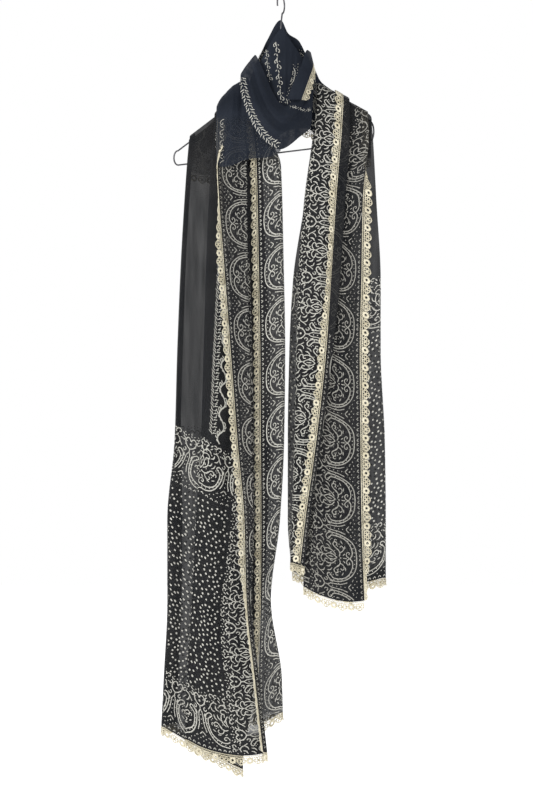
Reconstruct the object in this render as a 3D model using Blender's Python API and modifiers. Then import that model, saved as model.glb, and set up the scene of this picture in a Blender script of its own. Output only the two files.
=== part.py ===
"""Sheer dupatta stole with crochet lace, looped once round the neck of a wire hanger.

Frame: metres, +Z up, origin where the hook bears on its rail, front towards -Y.
The tables hold millimetres: x to the wearer's-left of the picture is negative, and a
"drop" is a distance below the origin.
"""
import math

import bpy
import numpy as np

MM = 0.001

# Cloth and lace sizes, mm
CLOTH_WALL = 1.0
LACE_WALL = 1.0
SEAM_GAP = 0.3
LACE_RING_WIDTH = 15.0
LACE_POINT_WIDTH = 18.5
LACE_REPEAT = 33.0

# Hanger sizes, mm
WIRE_RADIUS = 1.5
HOOK_INSIDE_RADIUS = 17.0
HOOK_TURN = math.radians(68)
HOOK_START = -70
HOOK_END = 200
SHANK_BEND = 26.0
NECK_DROP = 148.0
SLEEVE_RADIUS = 4.5
SLEEVE_HEIGHT = 18.0
LEFT_SLOPE = 0.759
RIGHT_SLOPE = 0.547
CORNER_RADIUS = 8.0
STUB_LENGTH = 8.0
LEFT_CORNER_X = -205.0
RIGHT_CORNER_X = 178.0
BAR_LEFT_DROP = 325.0
BAR_RIGHT_DROP = 280.0

# The first cloth layer rests on the wire; its flat facets need a little more than the gap
FACET_ALLOWANCE = 0.25
FIRST_LAYER = WIRE_RADIUS + SEAM_GAP + CLOTH_WALL / 2 + FACET_ALLOWANCE
# The left tail's front lace lies over the tail at the shoulder, this many layers out,
# swings out to the side between two drops, and stands up towards the viewer near the hem
OVER_RANK = -0.8
SWING_FROM = 340.0
SWING_TO = 420.0
STAND_FROM = 1080.0
STAND_OVER = 90.0
STAND_TURN = 76.0
OVER_GAP = 1.3
# How far the layers stand forward of the wire once they hang free of it
FREE_FORWARD = 7.0
FREE_DROP = 60.0
BACK_LENGTH = 42.0

LEFT_TAIL = {
    "name": "left_tail",
    # drop, then the x of each fold, from the front selvedge to the rear selvedge
    "folds": [
        (243, -122, -70, -86, -68, -127, -59, -171, -148, -173, -44, -55),
        (329, -122, -65, -86, -63, -129, -36, -179, -160, -180, 0, -48),
        (509, -112, -63, -84, -59, -133, -29, -189, -173, -191, 5, -44),
        (680, -97, -59, -80, -55, -139, -21, -196, -179, -198, 8, -40),
        (851, -82, -55, -74, -51, -148, -21, -201, -186, -203, 6, -38),
        (1003, -69, -53, -65, -51, -162, -25, -215, -188, -217, -2, -37),
        (1155, -65, -57, -66, -55, -169, -36, -215, -190, -217, -19, -38),
        (1307, -49, -41, -51, -41, -179, -49, -222, -196, -224, 2, -42),
        (1459, -32, -24, -34, -24, -184, -72, -230, -200, -232, 5, -36),
    ],
    "hems": (1436, 1438, 1442, 1442, 1417, 1474, 1396, 1391, 1396, 1368, 1387),
    # place of each stretch between two folds, counted from the front of the stack
    "ranks": (0, 1, 2, 3, 5, 6, 7, 8, 9, 4),
    "sags": (0, 0, 0, 15, 4, 4, 0, 0, 8, 2),
    # drop, distance between neighbouring layers
    "pitch": [(243, 2.3), (329, 3.4), (509, 5.0), (851, 6.0), (1474, 6.2)],
    "steps": (2, 1, 1, 5, 4, 5, 1, 1, 6, 2),
}

RIGHT_TAIL = {
    "name": "right_tail",
    "folds": [
        (205, 120, 131, 68, 122, 72, 171, 87, 162),
        (262, 116, 131, 62, 135, 65, 175, 89, 168),
        (395, 105, 122, 44, 135, 46, 182, 86, 155),
        (547, 95, 112, 32, 135, 23, 190, 78, 152),
        (680, 86, 99, 29, 135, 16, 190, 70, 149),
        (851, 67, 76, 25, 135, 13, 198, 55, 150),
        (1003, 46, 54, 20, 135, 13, 200, 44, 152),
        (1155, 29, 37, 15, 135, 28, 200, 42, 158),
    ],
    "hems": (1083, 1089, 1083, 1148, 1102, 1113, 1129, 1155),
    "ranks": (0, 1, 4, 5, 6, 3, 2),
    "sags": (0, 0, 4, 4, 6, 6, 12),
    "pitch": [(205, 3.0), (300, 4.0), (509, 5.5), (851, 6.5), (1155, 6.8)],
    "steps": (1, 4, 5, 5, 6, 4, 4),
}

# Rows down each tail: angles over the shoulder, then shares of the hanging length
ROLL_ANGLES = (180, 144, 108, 72, 36)
HANG_SHARES = (0.0, 0.04, 0.08, 0.115, 0.15, 0.2, 0.31, 0.42, 0.53, 0.64, 0.74, 0.83, 0.92, 1.0)

# The cowl in front of the neck, from its left fold round to its right fold
SWAG_STATIONS = [
    # inner x, inner y, inner drop, outer x, outer y, outer drop, belly
    (-47, 7.0, 122, -71, -28, 156, 4),
    (-33, -24, 148, -68, -56, 190, 7),
    (-18, -36, 186, -59, -60, 230, 9),
    (-4, -45, 211, -36, -62, 272, 11),
    (9, -47, 219, 0, -61, 303, 12),
    (23, -42, 205, 34, -52, 279, 10),
    (32, -34, 177, 57, -36, 254, 6),
    (42, -22, 142, 60, -28, 214, 4),
    (51, 7.6, 119, 64, -16, 148, 2),
]
SWAG_COLUMNS = 21
SWAG_ROWS = 8
SWAG_PLEAT = 1.6

# The inner fold of the neck, in front of the hook's shank and behind the cowl
INNER_FOLD_STATIONS = [
    # x, then drop and y of its top edge, its middle, its lower part and its foot
    (-40, 128, -1.0, 142, -5, 156, -9, 168, -12),
    (-25, 100, -2.5, 140, -8, 175, -20, 195, -28),
    (-10, 76, -2.4, 140, -9, 193, -31, 215, -38),
    (1, 64, -2.3, 140, -9, 201, -35, 226, -41),
    (12, 78, -2.4, 140, -9, 201, -35, 226, -41),
    (25, 96, -2.5, 138, -8.5, 185, -29, 205, -35.5),
    (36, 112, -3.0, 134, -8, 155, -18, 175, -24),
    (45, 122, -1.0, 130, -4, 142, -8, 158, -12),
]
INNER_FOLD_COLUMNS = 19
INNER_FOLD_ROWS = 8

# The fold on the cowl's right arm, from the neck down to the cowl's lowest point
NECK_FOLD_STATIONS = [
    # inner x, inner y, inner drop, outer x, outer y, outer drop
    (52, -7.2, 108, 62, -16.3, 139),
    (41.8, -18.2, 133, 56, -29.7, 156),
    (31.5, -33.6, 158, 50, -39.7, 174),
    (21.3, -43.7, 183, 44, -48.8, 191),
    (11, -53.4, 208, 38, -57.4, 209),
]
NECK_FOLD_ROWS = 9
NECK_FOLD_BELLY = 2.5

# The fold that comes over the left shoulder in front of the tail
SHOULDER_STATIONS = [
    # x, bottom drop, bottom y, distance from the wire, reach: 1 at the wire, 2 right over it
    (-123, 331, -47, 36, 1.62),
    (-112, 334, -47.3, 40, 1.62),
    (-101, 334, -48.3, 43, 1.61),
    (-84, 328, -49, 43, 1.60),
    (-71, 322, -49, 42, 1.50),
    (-62, 320, -49, 42, 1.25),
    (-50, 318, -49, 44, 0.70),
    (-32, 317, -49, 46, 0.40),
    (-15, 314, -49, 48, 0.30),
    (-1, 304, -50, 50, 0.20),
]

# The stretch behind the neck: its standing top edge, its fullest depth, its lower edge
BACK_STATIONS = [
    # x, top drop, top y, middle drop, middle y, lower drop, lower y
    (-176, 290, 8, 305, 11, 336, 14),
    (-150, 258, 12, 285, 15, 340, 18),
    (-122, 228, 20, 262, 25, 342, 28),
    (-95, 208, 20, 250, 25, 338, 28),
    (-70, 182, 22, 240, 25.5, 330, 30),
    (-47, 122, 7, 220, 31, 318, 33),
    (-27, 90, 13, 200, 35, 302, 35),
    (0, 50, 8, 190, 37, 284, 35),
    (14, 76, 11, 190, 36, 276, 34),
    (34, 89, 12, 195, 33, 272, 31),
    (49, 116, 9, 205, 29, 272, 28),
    (66, 142, 16, 220, 23.5, 278, 25),
    (76, 163, 19, 224, 23.5, 281, 25),
    (96, 177, 17, 235, 22.5, 290, 25),
    (128, 198, 16, 250, 22.5, 300, 25),
    (154, 226, 12, 260, 18, 306, 21),
    (174, 252, 9, 275, 11, 310, 14),
]

# Outer face of the cloth stacked over the wire, which the back stretch lies against
STACK_OUTSIDE = [
    # x, distance from the wire
    (-180, 12.5),
    (-156, 13.5),
    (-143, 25.6),
    (-128, 27.4),
    (-98, 27.4),
    (-90, 25.6),
    (-60, 25.6),
    (-48, 20.0),
    (-30, 0.0),
    (50, 0.0),
    (58, 22.6),
    (134, 22.6),
    (144, 17.5),
    (182, 17.5),
]


def clear_scene():
    for item in list(bpy.data.objects):
        bpy.data.objects.remove(item, do_unlink=True)


def make_material(name, colour, roughness, metallic):
    material = bpy.data.materials.new(name)
    material.use_nodes = True
    shader = material.node_tree.nodes["Principled BSDF"]
    shader.inputs["Base Color"].default_value = (*colour, 1.0)
    shader.inputs["Roughness"].default_value = roughness
    shader.inputs["Metallic"].default_value = metallic
    return material


def cloth_material():
    return make_material("black_georgette", (0.022, 0.026, 0.034), 0.75, 0.0)


def lace_material():
    return make_material("cream_crochet_lace", (0.80, 0.74, 0.55), 0.85, 0.0)


def wire_material():
    return make_material("grey_steel_wire", (0.45, 0.45, 0.47), 0.35, 1.0)


def follow(knots, values, at):
    """Read a smooth curve through a table's values without overshooting them."""
    knots = np.asarray(knots, float)
    values = np.asarray(values, float)
    at = np.clip(at, knots[0], knots[-1])
    steps = np.diff(knots)
    rises = np.diff(values) / steps
    slopes = np.zeros_like(values)
    for i in range(1, len(values) - 1):
        if rises[i - 1] * rises[i] > 0:
            slopes[i] = 2 * rises[i - 1] * rises[i] / (rises[i - 1] + rises[i])
    slopes[0] = rises[0]
    slopes[-1] = rises[-1]
    i = int(np.clip(np.searchsorted(knots, at) - 1, 0, len(steps) - 1))
    u = (at - knots[i]) / steps[i]
    return (values[i] * (1 + 2 * u) * (1 - u) ** 2 + values[i + 1] * u * u * (3 - 2 * u)
            + steps[i] * (slopes[i] * u * (1 - u) ** 2 - slopes[i + 1] * u * u * (1 - u)))


def wire_drop(x):
    """Height of the hanger's shoulder wire at x, as a drop."""
    slope = LEFT_SLOPE if x < 0 else RIGHT_SLOPE
    return NECK_DROP + slope * abs(x)


def wire_rise(x):
    """Height a layer needs above the sloping wire for each unit square to it."""
    slope = LEFT_SLOPE if x < 0 else RIGHT_SLOPE
    return math.hypot(1.0, slope)


def ripple(x, drop, free):
    """Soft waves that all layers of a tail share, so that the stack keeps its order."""
    ramp = min(1.0, free / 260.0)
    return ramp * 3.0 * math.sin(2 * math.pi * (x / 96 + drop / 1900) + 0.6)


def place(tail, x, drop, top, rank, row):
    """A point of a tail: row is an angle over the shoulder, or None where it hangs."""
    last = max(tail["ranks"])
    pitch_drops = [entry[0] for entry in tail["pitch"]]
    pitch_sizes = [entry[1] for entry in tail["pitch"]]
    if row is None:
        free = max(0.0, drop - top)
        out = FIRST_LAYER + (last - rank) * np.interp(drop, pitch_drops, pitch_sizes)
        out += FREE_FORWARD * min(1.0, free / FREE_DROP) + ripple(x, drop, free)
        return (x, -out, -drop)
    out = FIRST_LAYER + (last - rank) * pitch_sizes[0]
    if row == "back":
        return (x, out, -(wire_drop(x) + BACK_LENGTH))
    angle = math.radians(row)
    return (x, -out * math.cos(angle), -wire_drop(x) + out * math.sin(angle) * wire_rise(x))


def wire_crossing(drops, column):
    """The x at which a fold passes over the shoulder wire."""
    x = column[0]
    for _ in range(6):
        x = follow(drops, column, wire_drop(x))
    return x


def fold_places(tail, share, row):
    """The x of every fold on one crosswise line, and where that fold crosses the wire."""
    drops = [entry[0] for entry in tail["folds"]]
    folds = []
    for i, hem in enumerate(tail["hems"]):
        column = [entry[i + 1] for entry in tail["folds"]]
        crossing = wire_crossing(drops, column)
        top = wire_drop(crossing)
        level = top + (hem - top) * share
        folds.append((follow(drops, column, level) if row is None else crossing, crossing, hem))
    return folds


def hang(tail, x, x_top, hem, share, rank, row):
    """The point a share of the way from the wire to the hem, on one layer."""
    top = wire_drop(x_top)
    return place(tail, x, top + (hem - top) * share, top, rank, row)


def tail_row(tail, share, row):
    """One crosswise line of a tail, fold by fold, as points in mm."""
    folds = fold_places(tail, share, row)
    last = len(folds) - 2
    points = []
    for k in range(last + 1):
        way = 1 if k % 2 == 0 else -1
        x_near, top_near, hem_near = folds[k]
        x_far, top_far, hem_far = folds[k + 1]
        near_reach = way * turn_reach(tail, k - 1) if k > 0 else 0
        far_reach = way * turn_reach(tail, k) if k < last else 0
        steps = tail["steps"][k]
        for n in range(steps + 1):
            w = n / steps
            x = (x_near + near_reach) * (1 - w) + (x_far - far_reach) * w
            x_top = (top_near + near_reach) * (1 - w) + (top_far - far_reach) * w
            hem = hem_near * (1 - w) + hem_far * w + tail["sags"][k] * 4 * w * (1 - w)
            points.append(hang(tail, x, x_top, hem, share, tail["ranks"][k], row))
        if k < last:
            middle = (tail["ranks"][k] + tail["ranks"][k + 1]) / 2
            half = (tail["ranks"][k + 1] - tail["ranks"][k]) / 2
            for angle in (-30, 30):
                out = far_reach * (math.cos(math.radians(angle)) - 1)
                rank = middle + half * math.sin(math.radians(angle))
                points.append(hang(tail, x_far + out, top_far + out, hem_far, share, rank, row))
    return points


def selvedge(tail, end, reach):
    """The line at a distance beyond a tail's first (0) or last (-1) selvedge."""
    layers = len(tail["ranks"])
    way = -1 if end == 0 or layers % 2 == 0 else 1
    rank = tail["ranks"][end]
    line = []
    for share, row in tail_stations():
        x, x_top, hem = fold_places(tail, share, row)[end]
        beyond_x = way * reach
        line.append(np.array(hang(tail, x + beyond_x, x_top + beyond_x, hem, share, rank, row)))
    return line


def swinging_lace():
    """The two long lines of the left tail's front lace: where it is sewn, and its points."""
    near, far = [], []
    for share, row in tail_stations():
        x, x_top, hem = fold_places(LEFT_TAIL, share, row)[0]
        over = [np.array(hang(LEFT_TAIL, x + reach, x_top + reach, hem, share, OVER_RANK, row))
                for reach in (0.0, LACE_POINT_WIDTH)]
        edge = np.array(hang(LEFT_TAIL, x, x_top, hem, share, 0, row))
        swing = 0.0
        if row is None:
            swing = float(np.clip((-edge[2] - SWING_FROM) / (SWING_TO - SWING_FROM), 0, 1))
        stand = float(np.clip((-edge[2] - STAND_FROM) / STAND_OVER, 0, 1))
        degrees = 180 * swing - STAND_TURN * stand
        way = np.array((math.cos(math.radians(degrees)), -math.sin(math.radians(degrees)), 0.0))
        aside = float(np.clip((degrees - 100) / 80, 0, 1))
        base = edge + np.array((-SEAM_GAP * aside, -OVER_GAP * (1 - aside), 0.0))
        blend = float(np.clip(degrees / 60, 0, 1))
        near.append(over[0] * (1 - blend) + base * blend)
        far.append(over[1] * (1 - blend) + (base + way * (LACE_POINT_WIDTH - SEAM_GAP)) * blend)
    return near, far


def turn_reach(tail, k):
    """How far a fold's round turn stands out past the flat stretches it joins."""
    jump = abs(tail["ranks"][k + 1] - tail["ranks"][k])
    return 2.5 if jump == 1 else 6.0


def tail_stations():
    """Every crosswise line: behind the wire, over it, then down the hanging length."""
    stations = [(0.0, "back")]
    stations += [(0.0, angle) for angle in ROLL_ANGLES]
    stations += [(share, None) for share in HANG_SHARES]
    return stations


def tail_rows(tail):
    return [tail_row(tail, share, row) for share, row in tail_stations()]


def new_object(name, vertices, faces, material, collection):
    mesh = bpy.data.meshes.new(name)
    mesh.from_pydata([tuple(c * MM for c in v) for v in vertices], [], faces)
    mesh.update()
    mesh.materials.append(material)
    mesh.shade_smooth()
    item = bpy.data.objects.new(name, mesh)
    collection.objects.link(item)
    return item


def wall(name, rows, thickness, material, collection):
    """A closed cloth wall round an open sheet given as equal rows of points."""
    across = len(rows[0])
    vertices = [point for row in rows for point in row]
    faces = []
    for j in range(len(rows) - 1):
        for i in range(across - 1):
            a = j * across + i
            faces.append((a, a + 1, a + across + 1, a + across))
    item = new_object(name, vertices, faces, material, collection)
    solid = item.modifiers.new("wall", "SOLIDIFY")
    solid.thickness = thickness * MM
    solid.offset = 0.0
    return item


def refine(lines, gap):
    """Add points to lines that run side by side, and give the length along the first."""
    fine = [[line[0]] for line in lines]
    lengths = [0.0]
    for n in range(len(lines[0]) - 1):
        stretch = float(np.linalg.norm(np.subtract(lines[0][n + 1], lines[0][n])))
        pieces = max(1, round(stretch / gap))
        for i in range(1, pieces + 1):
            w = i / pieces
            lengths.append(lengths[-1] + stretch / pieces)
            for line, store in zip(lines, fine):
                store.append(np.multiply(line[n], 1 - w) + np.multiply(line[n + 1], w))
    return fine, lengths


def lace_width(length):
    """Depth of the lace at a length along it: one point in each repeat."""
    phase = length / LACE_REPEAT % 1.0
    lift = max(0.0, 1 - abs(phase - 0.5) * 4)
    return LACE_RING_WIDTH + (LACE_POINT_WIDTH - LACE_RING_WIDTH) * lift


def lace_strip(name, near, far, material, collection):
    """A lace wall between a line at the cloth's edge and one at the lace's full depth."""
    (inner, outer), lengths = refine([near, far], LACE_REPEAT / 2)
    rows = []
    for a, b, length in zip(inner, outer, lengths):
        share = lace_width(length) / LACE_POINT_WIDTH
        rows.append([tuple(a), tuple(np.asarray(a) * (1 - share) + np.asarray(b) * share)])
    return wall(name, rows, LACE_WALL, material, collection)


def hem_lace(name, rows, material, collection):
    """The lace below a tail's hem: it follows every fold of the hem and hangs down."""
    (hem,), lengths = refine([rows[-1]], LACE_REPEAT / 2)
    strip = []
    for (x, y, z), length in zip(hem, lengths):
        strip.append([(x, y, z - SEAM_GAP), (x, y, z - lace_width(length))])
    return wall(name, strip, LACE_WALL, material, collection)


def beyond(edge, inside, reach):
    """The line at a distance past a sheet's edge, in the sheet's own direction."""
    line = []
    for a, b in zip(edge, inside):
        out = np.subtract(a, b)
        line.append(np.asarray(a) + out / np.linalg.norm(out) * reach)
    return line


def make_tail(tail, laces, cloth, lace, collection):
    rows = tail_rows(tail)
    wall(tail["name"], rows, CLOTH_WALL, cloth, collection)
    front = [selvedge(tail, 0, reach) for reach in (SEAM_GAP, LACE_POINT_WIDTH)]
    if tail is LEFT_TAIL:
        front = swinging_lace()
    rear = [selvedge(tail, -1, reach) for reach in (SEAM_GAP, LACE_POINT_WIDTH)]
    lace_strip(laces[0], *front, lace, collection)
    lace_strip(laces[1], *rear, lace, collection)
    hem_lace(laces[2], rows, lace, collection)


def swag_rows():
    """Rows of the cowl, from its inner edge to its outer edge."""
    knots = list(range(len(SWAG_STATIONS)))
    stations = np.linspace(0, len(knots) - 1, SWAG_COLUMNS)
    rows = []
    for share in np.linspace(0, 1, SWAG_ROWS):
        row = []
        for at in stations:
            values = [follow(knots, [s[c] for s in SWAG_STATIONS], at) for c in range(7)]
            inner = np.array((values[0], values[1], -values[2]))
            outer = np.array((values[3], values[4], -values[5]))
            point = inner * (1 - share) + outer * share
            swell = math.sin(math.pi * share)
            pleat = SWAG_PLEAT * math.sin(3 * math.pi * share + 0.4)
            point[1] -= swell * (values[6] + pleat)
            row.append(tuple(point))
        rows.append(row)
    return rows


def make_swag(cloth, collection):
    return wall("front_swag", swag_rows(), CLOTH_WALL, cloth, collection)


def make_inner_fold(cloth, collection):
    columns = list(zip(*INNER_FOLD_STATIONS))
    rows = []
    for x in np.linspace(columns[0][0], columns[0][-1], INNER_FOLD_COLUMNS):
        values = [follow(columns[0], columns[c], x) for c in range(1, 9)]
        row = []
        for share in np.linspace(0, 1, INNER_FOLD_ROWS):
            drop = follow((0, 0.4, 0.8, 1), values[0::2], share)
            depth = follow((0, 0.4, 0.8, 1), values[1::2], share)
            row.append((x, depth, -drop))
        rows.append(row)
    wall("neck_inner_fold", rows, CLOTH_WALL, cloth, collection)


def make_neck_fold(cloth, lace, collection):
    """The narrow fold on the right arm of the cowl, which ends in a lace selvedge."""
    fold = []
    knots = list(range(len(NECK_FOLD_STATIONS)))
    for at in np.linspace(0, len(knots) - 1, NECK_FOLD_ROWS):
        values = [follow(knots, [s[c] for s in NECK_FOLD_STATIONS], at) for c in range(6)]
        inner = np.array((values[0], values[1], -values[2]))
        outer = np.array((values[3], values[4], -values[5]))
        middle = (inner + outer) / 2 - np.array((0, NECK_FOLD_BELLY, 0))
        fold.append([tuple(inner), tuple(middle), tuple(outer)])
    wall("right_neck_fold", fold, CLOTH_WALL, cloth, collection)
    edge = [row[2] for row in fold]
    inside = [row[1] for row in fold]
    near, far = (beyond(edge, inside, reach) for reach in (SEAM_GAP, LACE_POINT_WIDTH))
    lace_strip("neck_lace", near, far, lace, collection)


def make_shoulder_fold(cloth, collection):
    rows = []
    columns = list(zip(*SHOULDER_STATIONS))
    for x in np.linspace(columns[0][0], columns[0][-1], 15):
        bottom, bottom_y, out, reach = (follow(columns[0], columns[c], x) for c in range(1, 5))
        row = []
        for at in np.linspace(0, reach, 9):
            rise = min(at, 1.0)
            level = bottom + (wire_drop(x) - bottom) * rise
            lean = math.radians(180 * max(0.0, at - 1.0))
            y = (bottom_y * (1 - rise) - out * rise) * math.cos(lean)
            row.append((x, y, -level + out * math.sin(lean)))
        rows.append(row)
    return wall("left_shoulder_fold", rows, CLOTH_WALL, cloth, collection)


def stack_depth(x, drop):
    """How far back the cloth over the wire reaches at a place behind it."""
    out = np.interp(x, [entry[0] for entry in STACK_OUTSIDE], [entry[1] for entry in STACK_OUTSIDE])
    above = max(0.0, wire_drop(x) - drop) / wire_rise(x)
    return math.sqrt(max(0.0, out * out - above * above))


def back_rows():
    columns = list(zip(*BACK_STATIONS))
    rows = []
    for x in np.linspace(columns[0][0], columns[0][-1], 33):
        values = [follow(columns[0], columns[c], x) for c in range(1, 7)]
        top_drop, top_y, middle_drop, middle_y, lower_drop, lower_y = values
        row = []
        for share in np.linspace(0, 1, 8):
            level = follow((0, 0.45, 1), (top_drop, middle_drop, lower_drop), share)
            depth = follow((0, 0.45, 1), (top_y, middle_y, lower_y), share)
            row.append((x, max(depth, stack_depth(x, level)), -level))
        rows.append(row)
    return rows


def make_back(cloth, lace, collection):
    rows = back_rows()
    wall("back_wrap", rows, CLOTH_WALL, cloth, collection)
    edge = [row[-1] for row in rows]
    inside = [row[-2] for row in rows]
    near, far = (beyond(edge, inside, reach) for reach in (SEAM_GAP, LACE_POINT_WIDTH))
    lace_strip("back_lace", near, far, lace, collection)


def wire(name, path, material, collection):
    """A round wire along a path of points in mm, with flat ends."""
    curve = bpy.data.curves.new(name, "CURVE")
    curve.dimensions = "3D"
    curve.bevel_depth = WIRE_RADIUS * MM
    curve.bevel_resolution = 2
    curve.use_fill_caps = True
    spline = curve.splines.new("POLY")
    spline.points.add(len(path) - 1)
    for point, place_at in zip(spline.points, path):
        point.co = (*[c * MM for c in place_at], 1.0)
    curve.materials.append(material)
    item = bpy.data.objects.new(name, curve)
    collection.objects.link(item)
    return item


def hook_path():
    """Straight shank, then a round hook whose plane is turned from the frame's."""
    radius = HOOK_INSIDE_RADIUS + WIRE_RADIUS
    centre = -HOOK_INSIDE_RADIUS
    path = [(0.0, 0.0, -(NECK_DROP - SLEEVE_HEIGHT / 2 - SEAM_GAP))]
    path.append((0.0, 0.0, centre - radius - SHANK_BEND))
    for angle in range(HOOK_START, HOOK_END + 1, 15):
        along = radius * math.cos(math.radians(angle))
        height = centre + radius * math.sin(math.radians(angle))
        path.append((along * math.cos(HOOK_TURN), along * math.sin(HOOK_TURN), height))
    return path


def bar_direction():
    length = math.hypot(RIGHT_CORNER_X - LEFT_CORNER_X, BAR_RIGHT_DROP - BAR_LEFT_DROP)
    return ((RIGHT_CORNER_X - LEFT_CORNER_X) / length, (BAR_LEFT_DROP - BAR_RIGHT_DROP) / length)


def shoulder_path(side):
    """From the neck sleeve down the shoulder, round the lower corner and into the bar."""
    slope = LEFT_SLOPE if side < 0 else RIGHT_SLOPE
    corner_x = LEFT_CORNER_X if side < 0 else RIGHT_CORNER_X
    bar_drop = BAR_LEFT_DROP if side < 0 else BAR_RIGHT_DROP
    end_reach = WIRE_RADIUS * slope / math.hypot(1.0, slope)
    start_x = side * (SLEEVE_RADIUS + SEAM_GAP + end_reach)
    end_x = corner_x - side * CORNER_RADIUS
    path = [(start_x, 0.0, -(NECK_DROP + slope * abs(start_x)))]
    first = NECK_DROP + slope * abs(end_x)
    path.append((end_x, 0.0, -first))
    for angle in range(20, 181, 20):
        lean = math.radians(angle)
        x = end_x + side * CORNER_RADIUS * math.sin(lean)
        drop = first + (bar_drop - first) * (1 - math.cos(lean)) / 2
        path.append((x, 0.0, -drop))
    run, rise = bar_direction()
    path.append((end_x - side * run * STUB_LENGTH, 0.0, -bar_drop - side * rise * STUB_LENGTH))
    return path


def make_hanger(material, collection):
    wire("hanger_hook", hook_path(), material, collection)
    left = shoulder_path(-1)
    right = shoulder_path(1)
    wire("hanger_left_shoulder", left, material, collection)
    wire("hanger_right_shoulder", right, material, collection)
    run, rise = bar_direction()
    bar_start = (left[-1][0] + run * SEAM_GAP, 0.0, left[-1][2] + rise * SEAM_GAP)
    bar_end = (right[-1][0] - run * SEAM_GAP, 0.0, right[-1][2] - rise * SEAM_GAP)
    wire("hanger_bar", [bar_start, bar_end], material, collection)
    bpy.ops.mesh.primitive_cylinder_add(vertices=20, radius=SLEEVE_RADIUS * MM,
                                        depth=SLEEVE_HEIGHT * MM,
                                        location=(0, 0, -NECK_DROP * MM))
    sleeve = bpy.context.object
    sleeve.name = "hanger_neck_sleeve"
    sleeve.data.materials.append(material)
    sleeve.data.shade_smooth()
    sleeve.data.set_sharp_from_angle(angle=math.radians(40))
    for owner in list(sleeve.users_collection):
        owner.objects.unlink(sleeve)
    collection.objects.link(sleeve)


def main():
    clear_scene()
    collection = bpy.data.collections.new("dupatta_stole_on_hanger")
    bpy.context.scene.collection.children.link(collection)
    cloth = cloth_material()
    lace = lace_material()
    make_hanger(wire_material(), collection)
    make_back(cloth, lace, collection)
    make_shoulder_fold(cloth, collection)
    make_swag(cloth, collection)
    make_inner_fold(cloth, collection)
    make_neck_fold(cloth, lace, collection)
    left_laces = ("left_front_lace", "left_rear_lace", "left_hem_lace")
    right_laces = ("right_front_lace", "right_rear_lace", "right_hem_lace")
    make_tail(LEFT_TAIL, left_laces, cloth, lace, collection)
    make_tail(RIGHT_TAIL, right_laces, cloth, lace, collection)


main()
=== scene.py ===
import math
import random

import bpy
import numpy as np
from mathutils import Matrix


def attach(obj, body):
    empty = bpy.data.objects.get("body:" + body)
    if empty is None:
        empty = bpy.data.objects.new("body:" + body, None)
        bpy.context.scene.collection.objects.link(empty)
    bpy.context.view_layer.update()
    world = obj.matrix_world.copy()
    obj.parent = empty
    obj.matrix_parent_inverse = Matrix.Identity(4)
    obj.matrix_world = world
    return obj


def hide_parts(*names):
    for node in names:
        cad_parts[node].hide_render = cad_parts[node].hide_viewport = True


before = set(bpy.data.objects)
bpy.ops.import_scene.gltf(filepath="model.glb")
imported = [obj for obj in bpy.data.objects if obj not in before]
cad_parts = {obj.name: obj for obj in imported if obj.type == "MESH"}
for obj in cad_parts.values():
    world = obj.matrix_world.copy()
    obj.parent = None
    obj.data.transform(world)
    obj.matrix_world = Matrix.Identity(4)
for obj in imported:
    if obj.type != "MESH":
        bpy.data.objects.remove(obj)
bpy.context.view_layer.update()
MM = 0.001

# Wire hanger: one 3 mm steel wire bent into shoulders, lower bar and hook, joined at a
# crimped sleeve below the hook. A small strap hook is bent into the left shoulder.
WIRE_RADIUS = 1.5
HOOK_INSIDE_RADIUS = 17.0
HOOK_TURN = math.radians(68)
NECK_DROP = 148.0
LEFT_SLOPE = 0.759
RIGHT_SLOPE = 0.547
CORNER_RADIUS = 8.0
LEFT_CORNER_X = -205.0
RIGHT_CORNER_X = 178.0
BAR_LEFT_DROP = 325.0
BAR_RIGHT_DROP = 280.0
STRAP_HOOK_RADIUS = 1.0
SLEEVE_SIDES = 28
SLEEVE_PROFILE = ((-9, 3.6), (-8.6, 4.3), (-8, 4.5), (-4.6, 4.5), (-4, 4.1), (-3.4, 4.5),
                  (3.4, 4.5), (4, 4.1), (4.6, 4.5), (8, 4.5), (8.6, 4.3), (9, 3.6))


def add_mesh(name, points, faces, material, smooth=True):
    """A mesh object from points in mm and faces of any size."""
    points = np.asarray(points, float) * MM
    mesh = bpy.data.meshes.new(name)
    mesh.vertices.add(len(points))
    mesh.vertices.foreach_set("co", points.ravel())
    if isinstance(faces, np.ndarray):
        count, size = faces.shape
        corners = faces.ravel()
        starts = np.arange(0, count * size, size)
        totals = np.full(count, size)
    else:
        totals = np.array([len(face) for face in faces])
        starts = np.concatenate([[0], np.cumsum(totals)[:-1]])
        corners = np.concatenate([np.asarray(face) for face in faces])
        count = len(faces)
    mesh.loops.add(len(corners))
    mesh.loops.foreach_set("vertex_index", corners.astype(np.int32))
    mesh.polygons.add(count)
    mesh.polygons.foreach_set("loop_start", starts.astype(np.int32))
    mesh.polygons.foreach_set("loop_total", totals.astype(np.int32))
    mesh.update(calc_edges=True)
    mesh.validate()
    mesh.materials.append(material)
    if smooth:
        mesh.shade_smooth()
    item = bpy.data.objects.new(name, mesh)
    bpy.context.scene.collection.objects.link(item)
    return item


def new_material(name):
    """A material with its shader and a way to add and link nodes."""
    material = bpy.data.materials.new(name)
    material.use_nodes = True
    tree = material.node_tree
    return material, tree, tree.nodes["Principled BSDF"]


def add_node(tree, kind, **values):
    """A shader node with some of its settings given."""
    node = tree.nodes.new(kind)
    for key, value in values.items():
        setattr(node, key, value)
    return node


def new_group(name, inputs, outputs):
    """An empty shader node group with named sockets, and its two end nodes."""
    group = bpy.data.node_groups.new(name, "ShaderNodeTree")
    for way, sockets in (("INPUT", inputs), ("OUTPUT", outputs)):
        for label, kind in sockets:
            group.interface.new_socket(name=label, in_out=way, socket_type="NodeSocket" + kind)
    return group, group.nodes.new("NodeGroupInput"), group.nodes.new("NodeGroupOutput")


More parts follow.
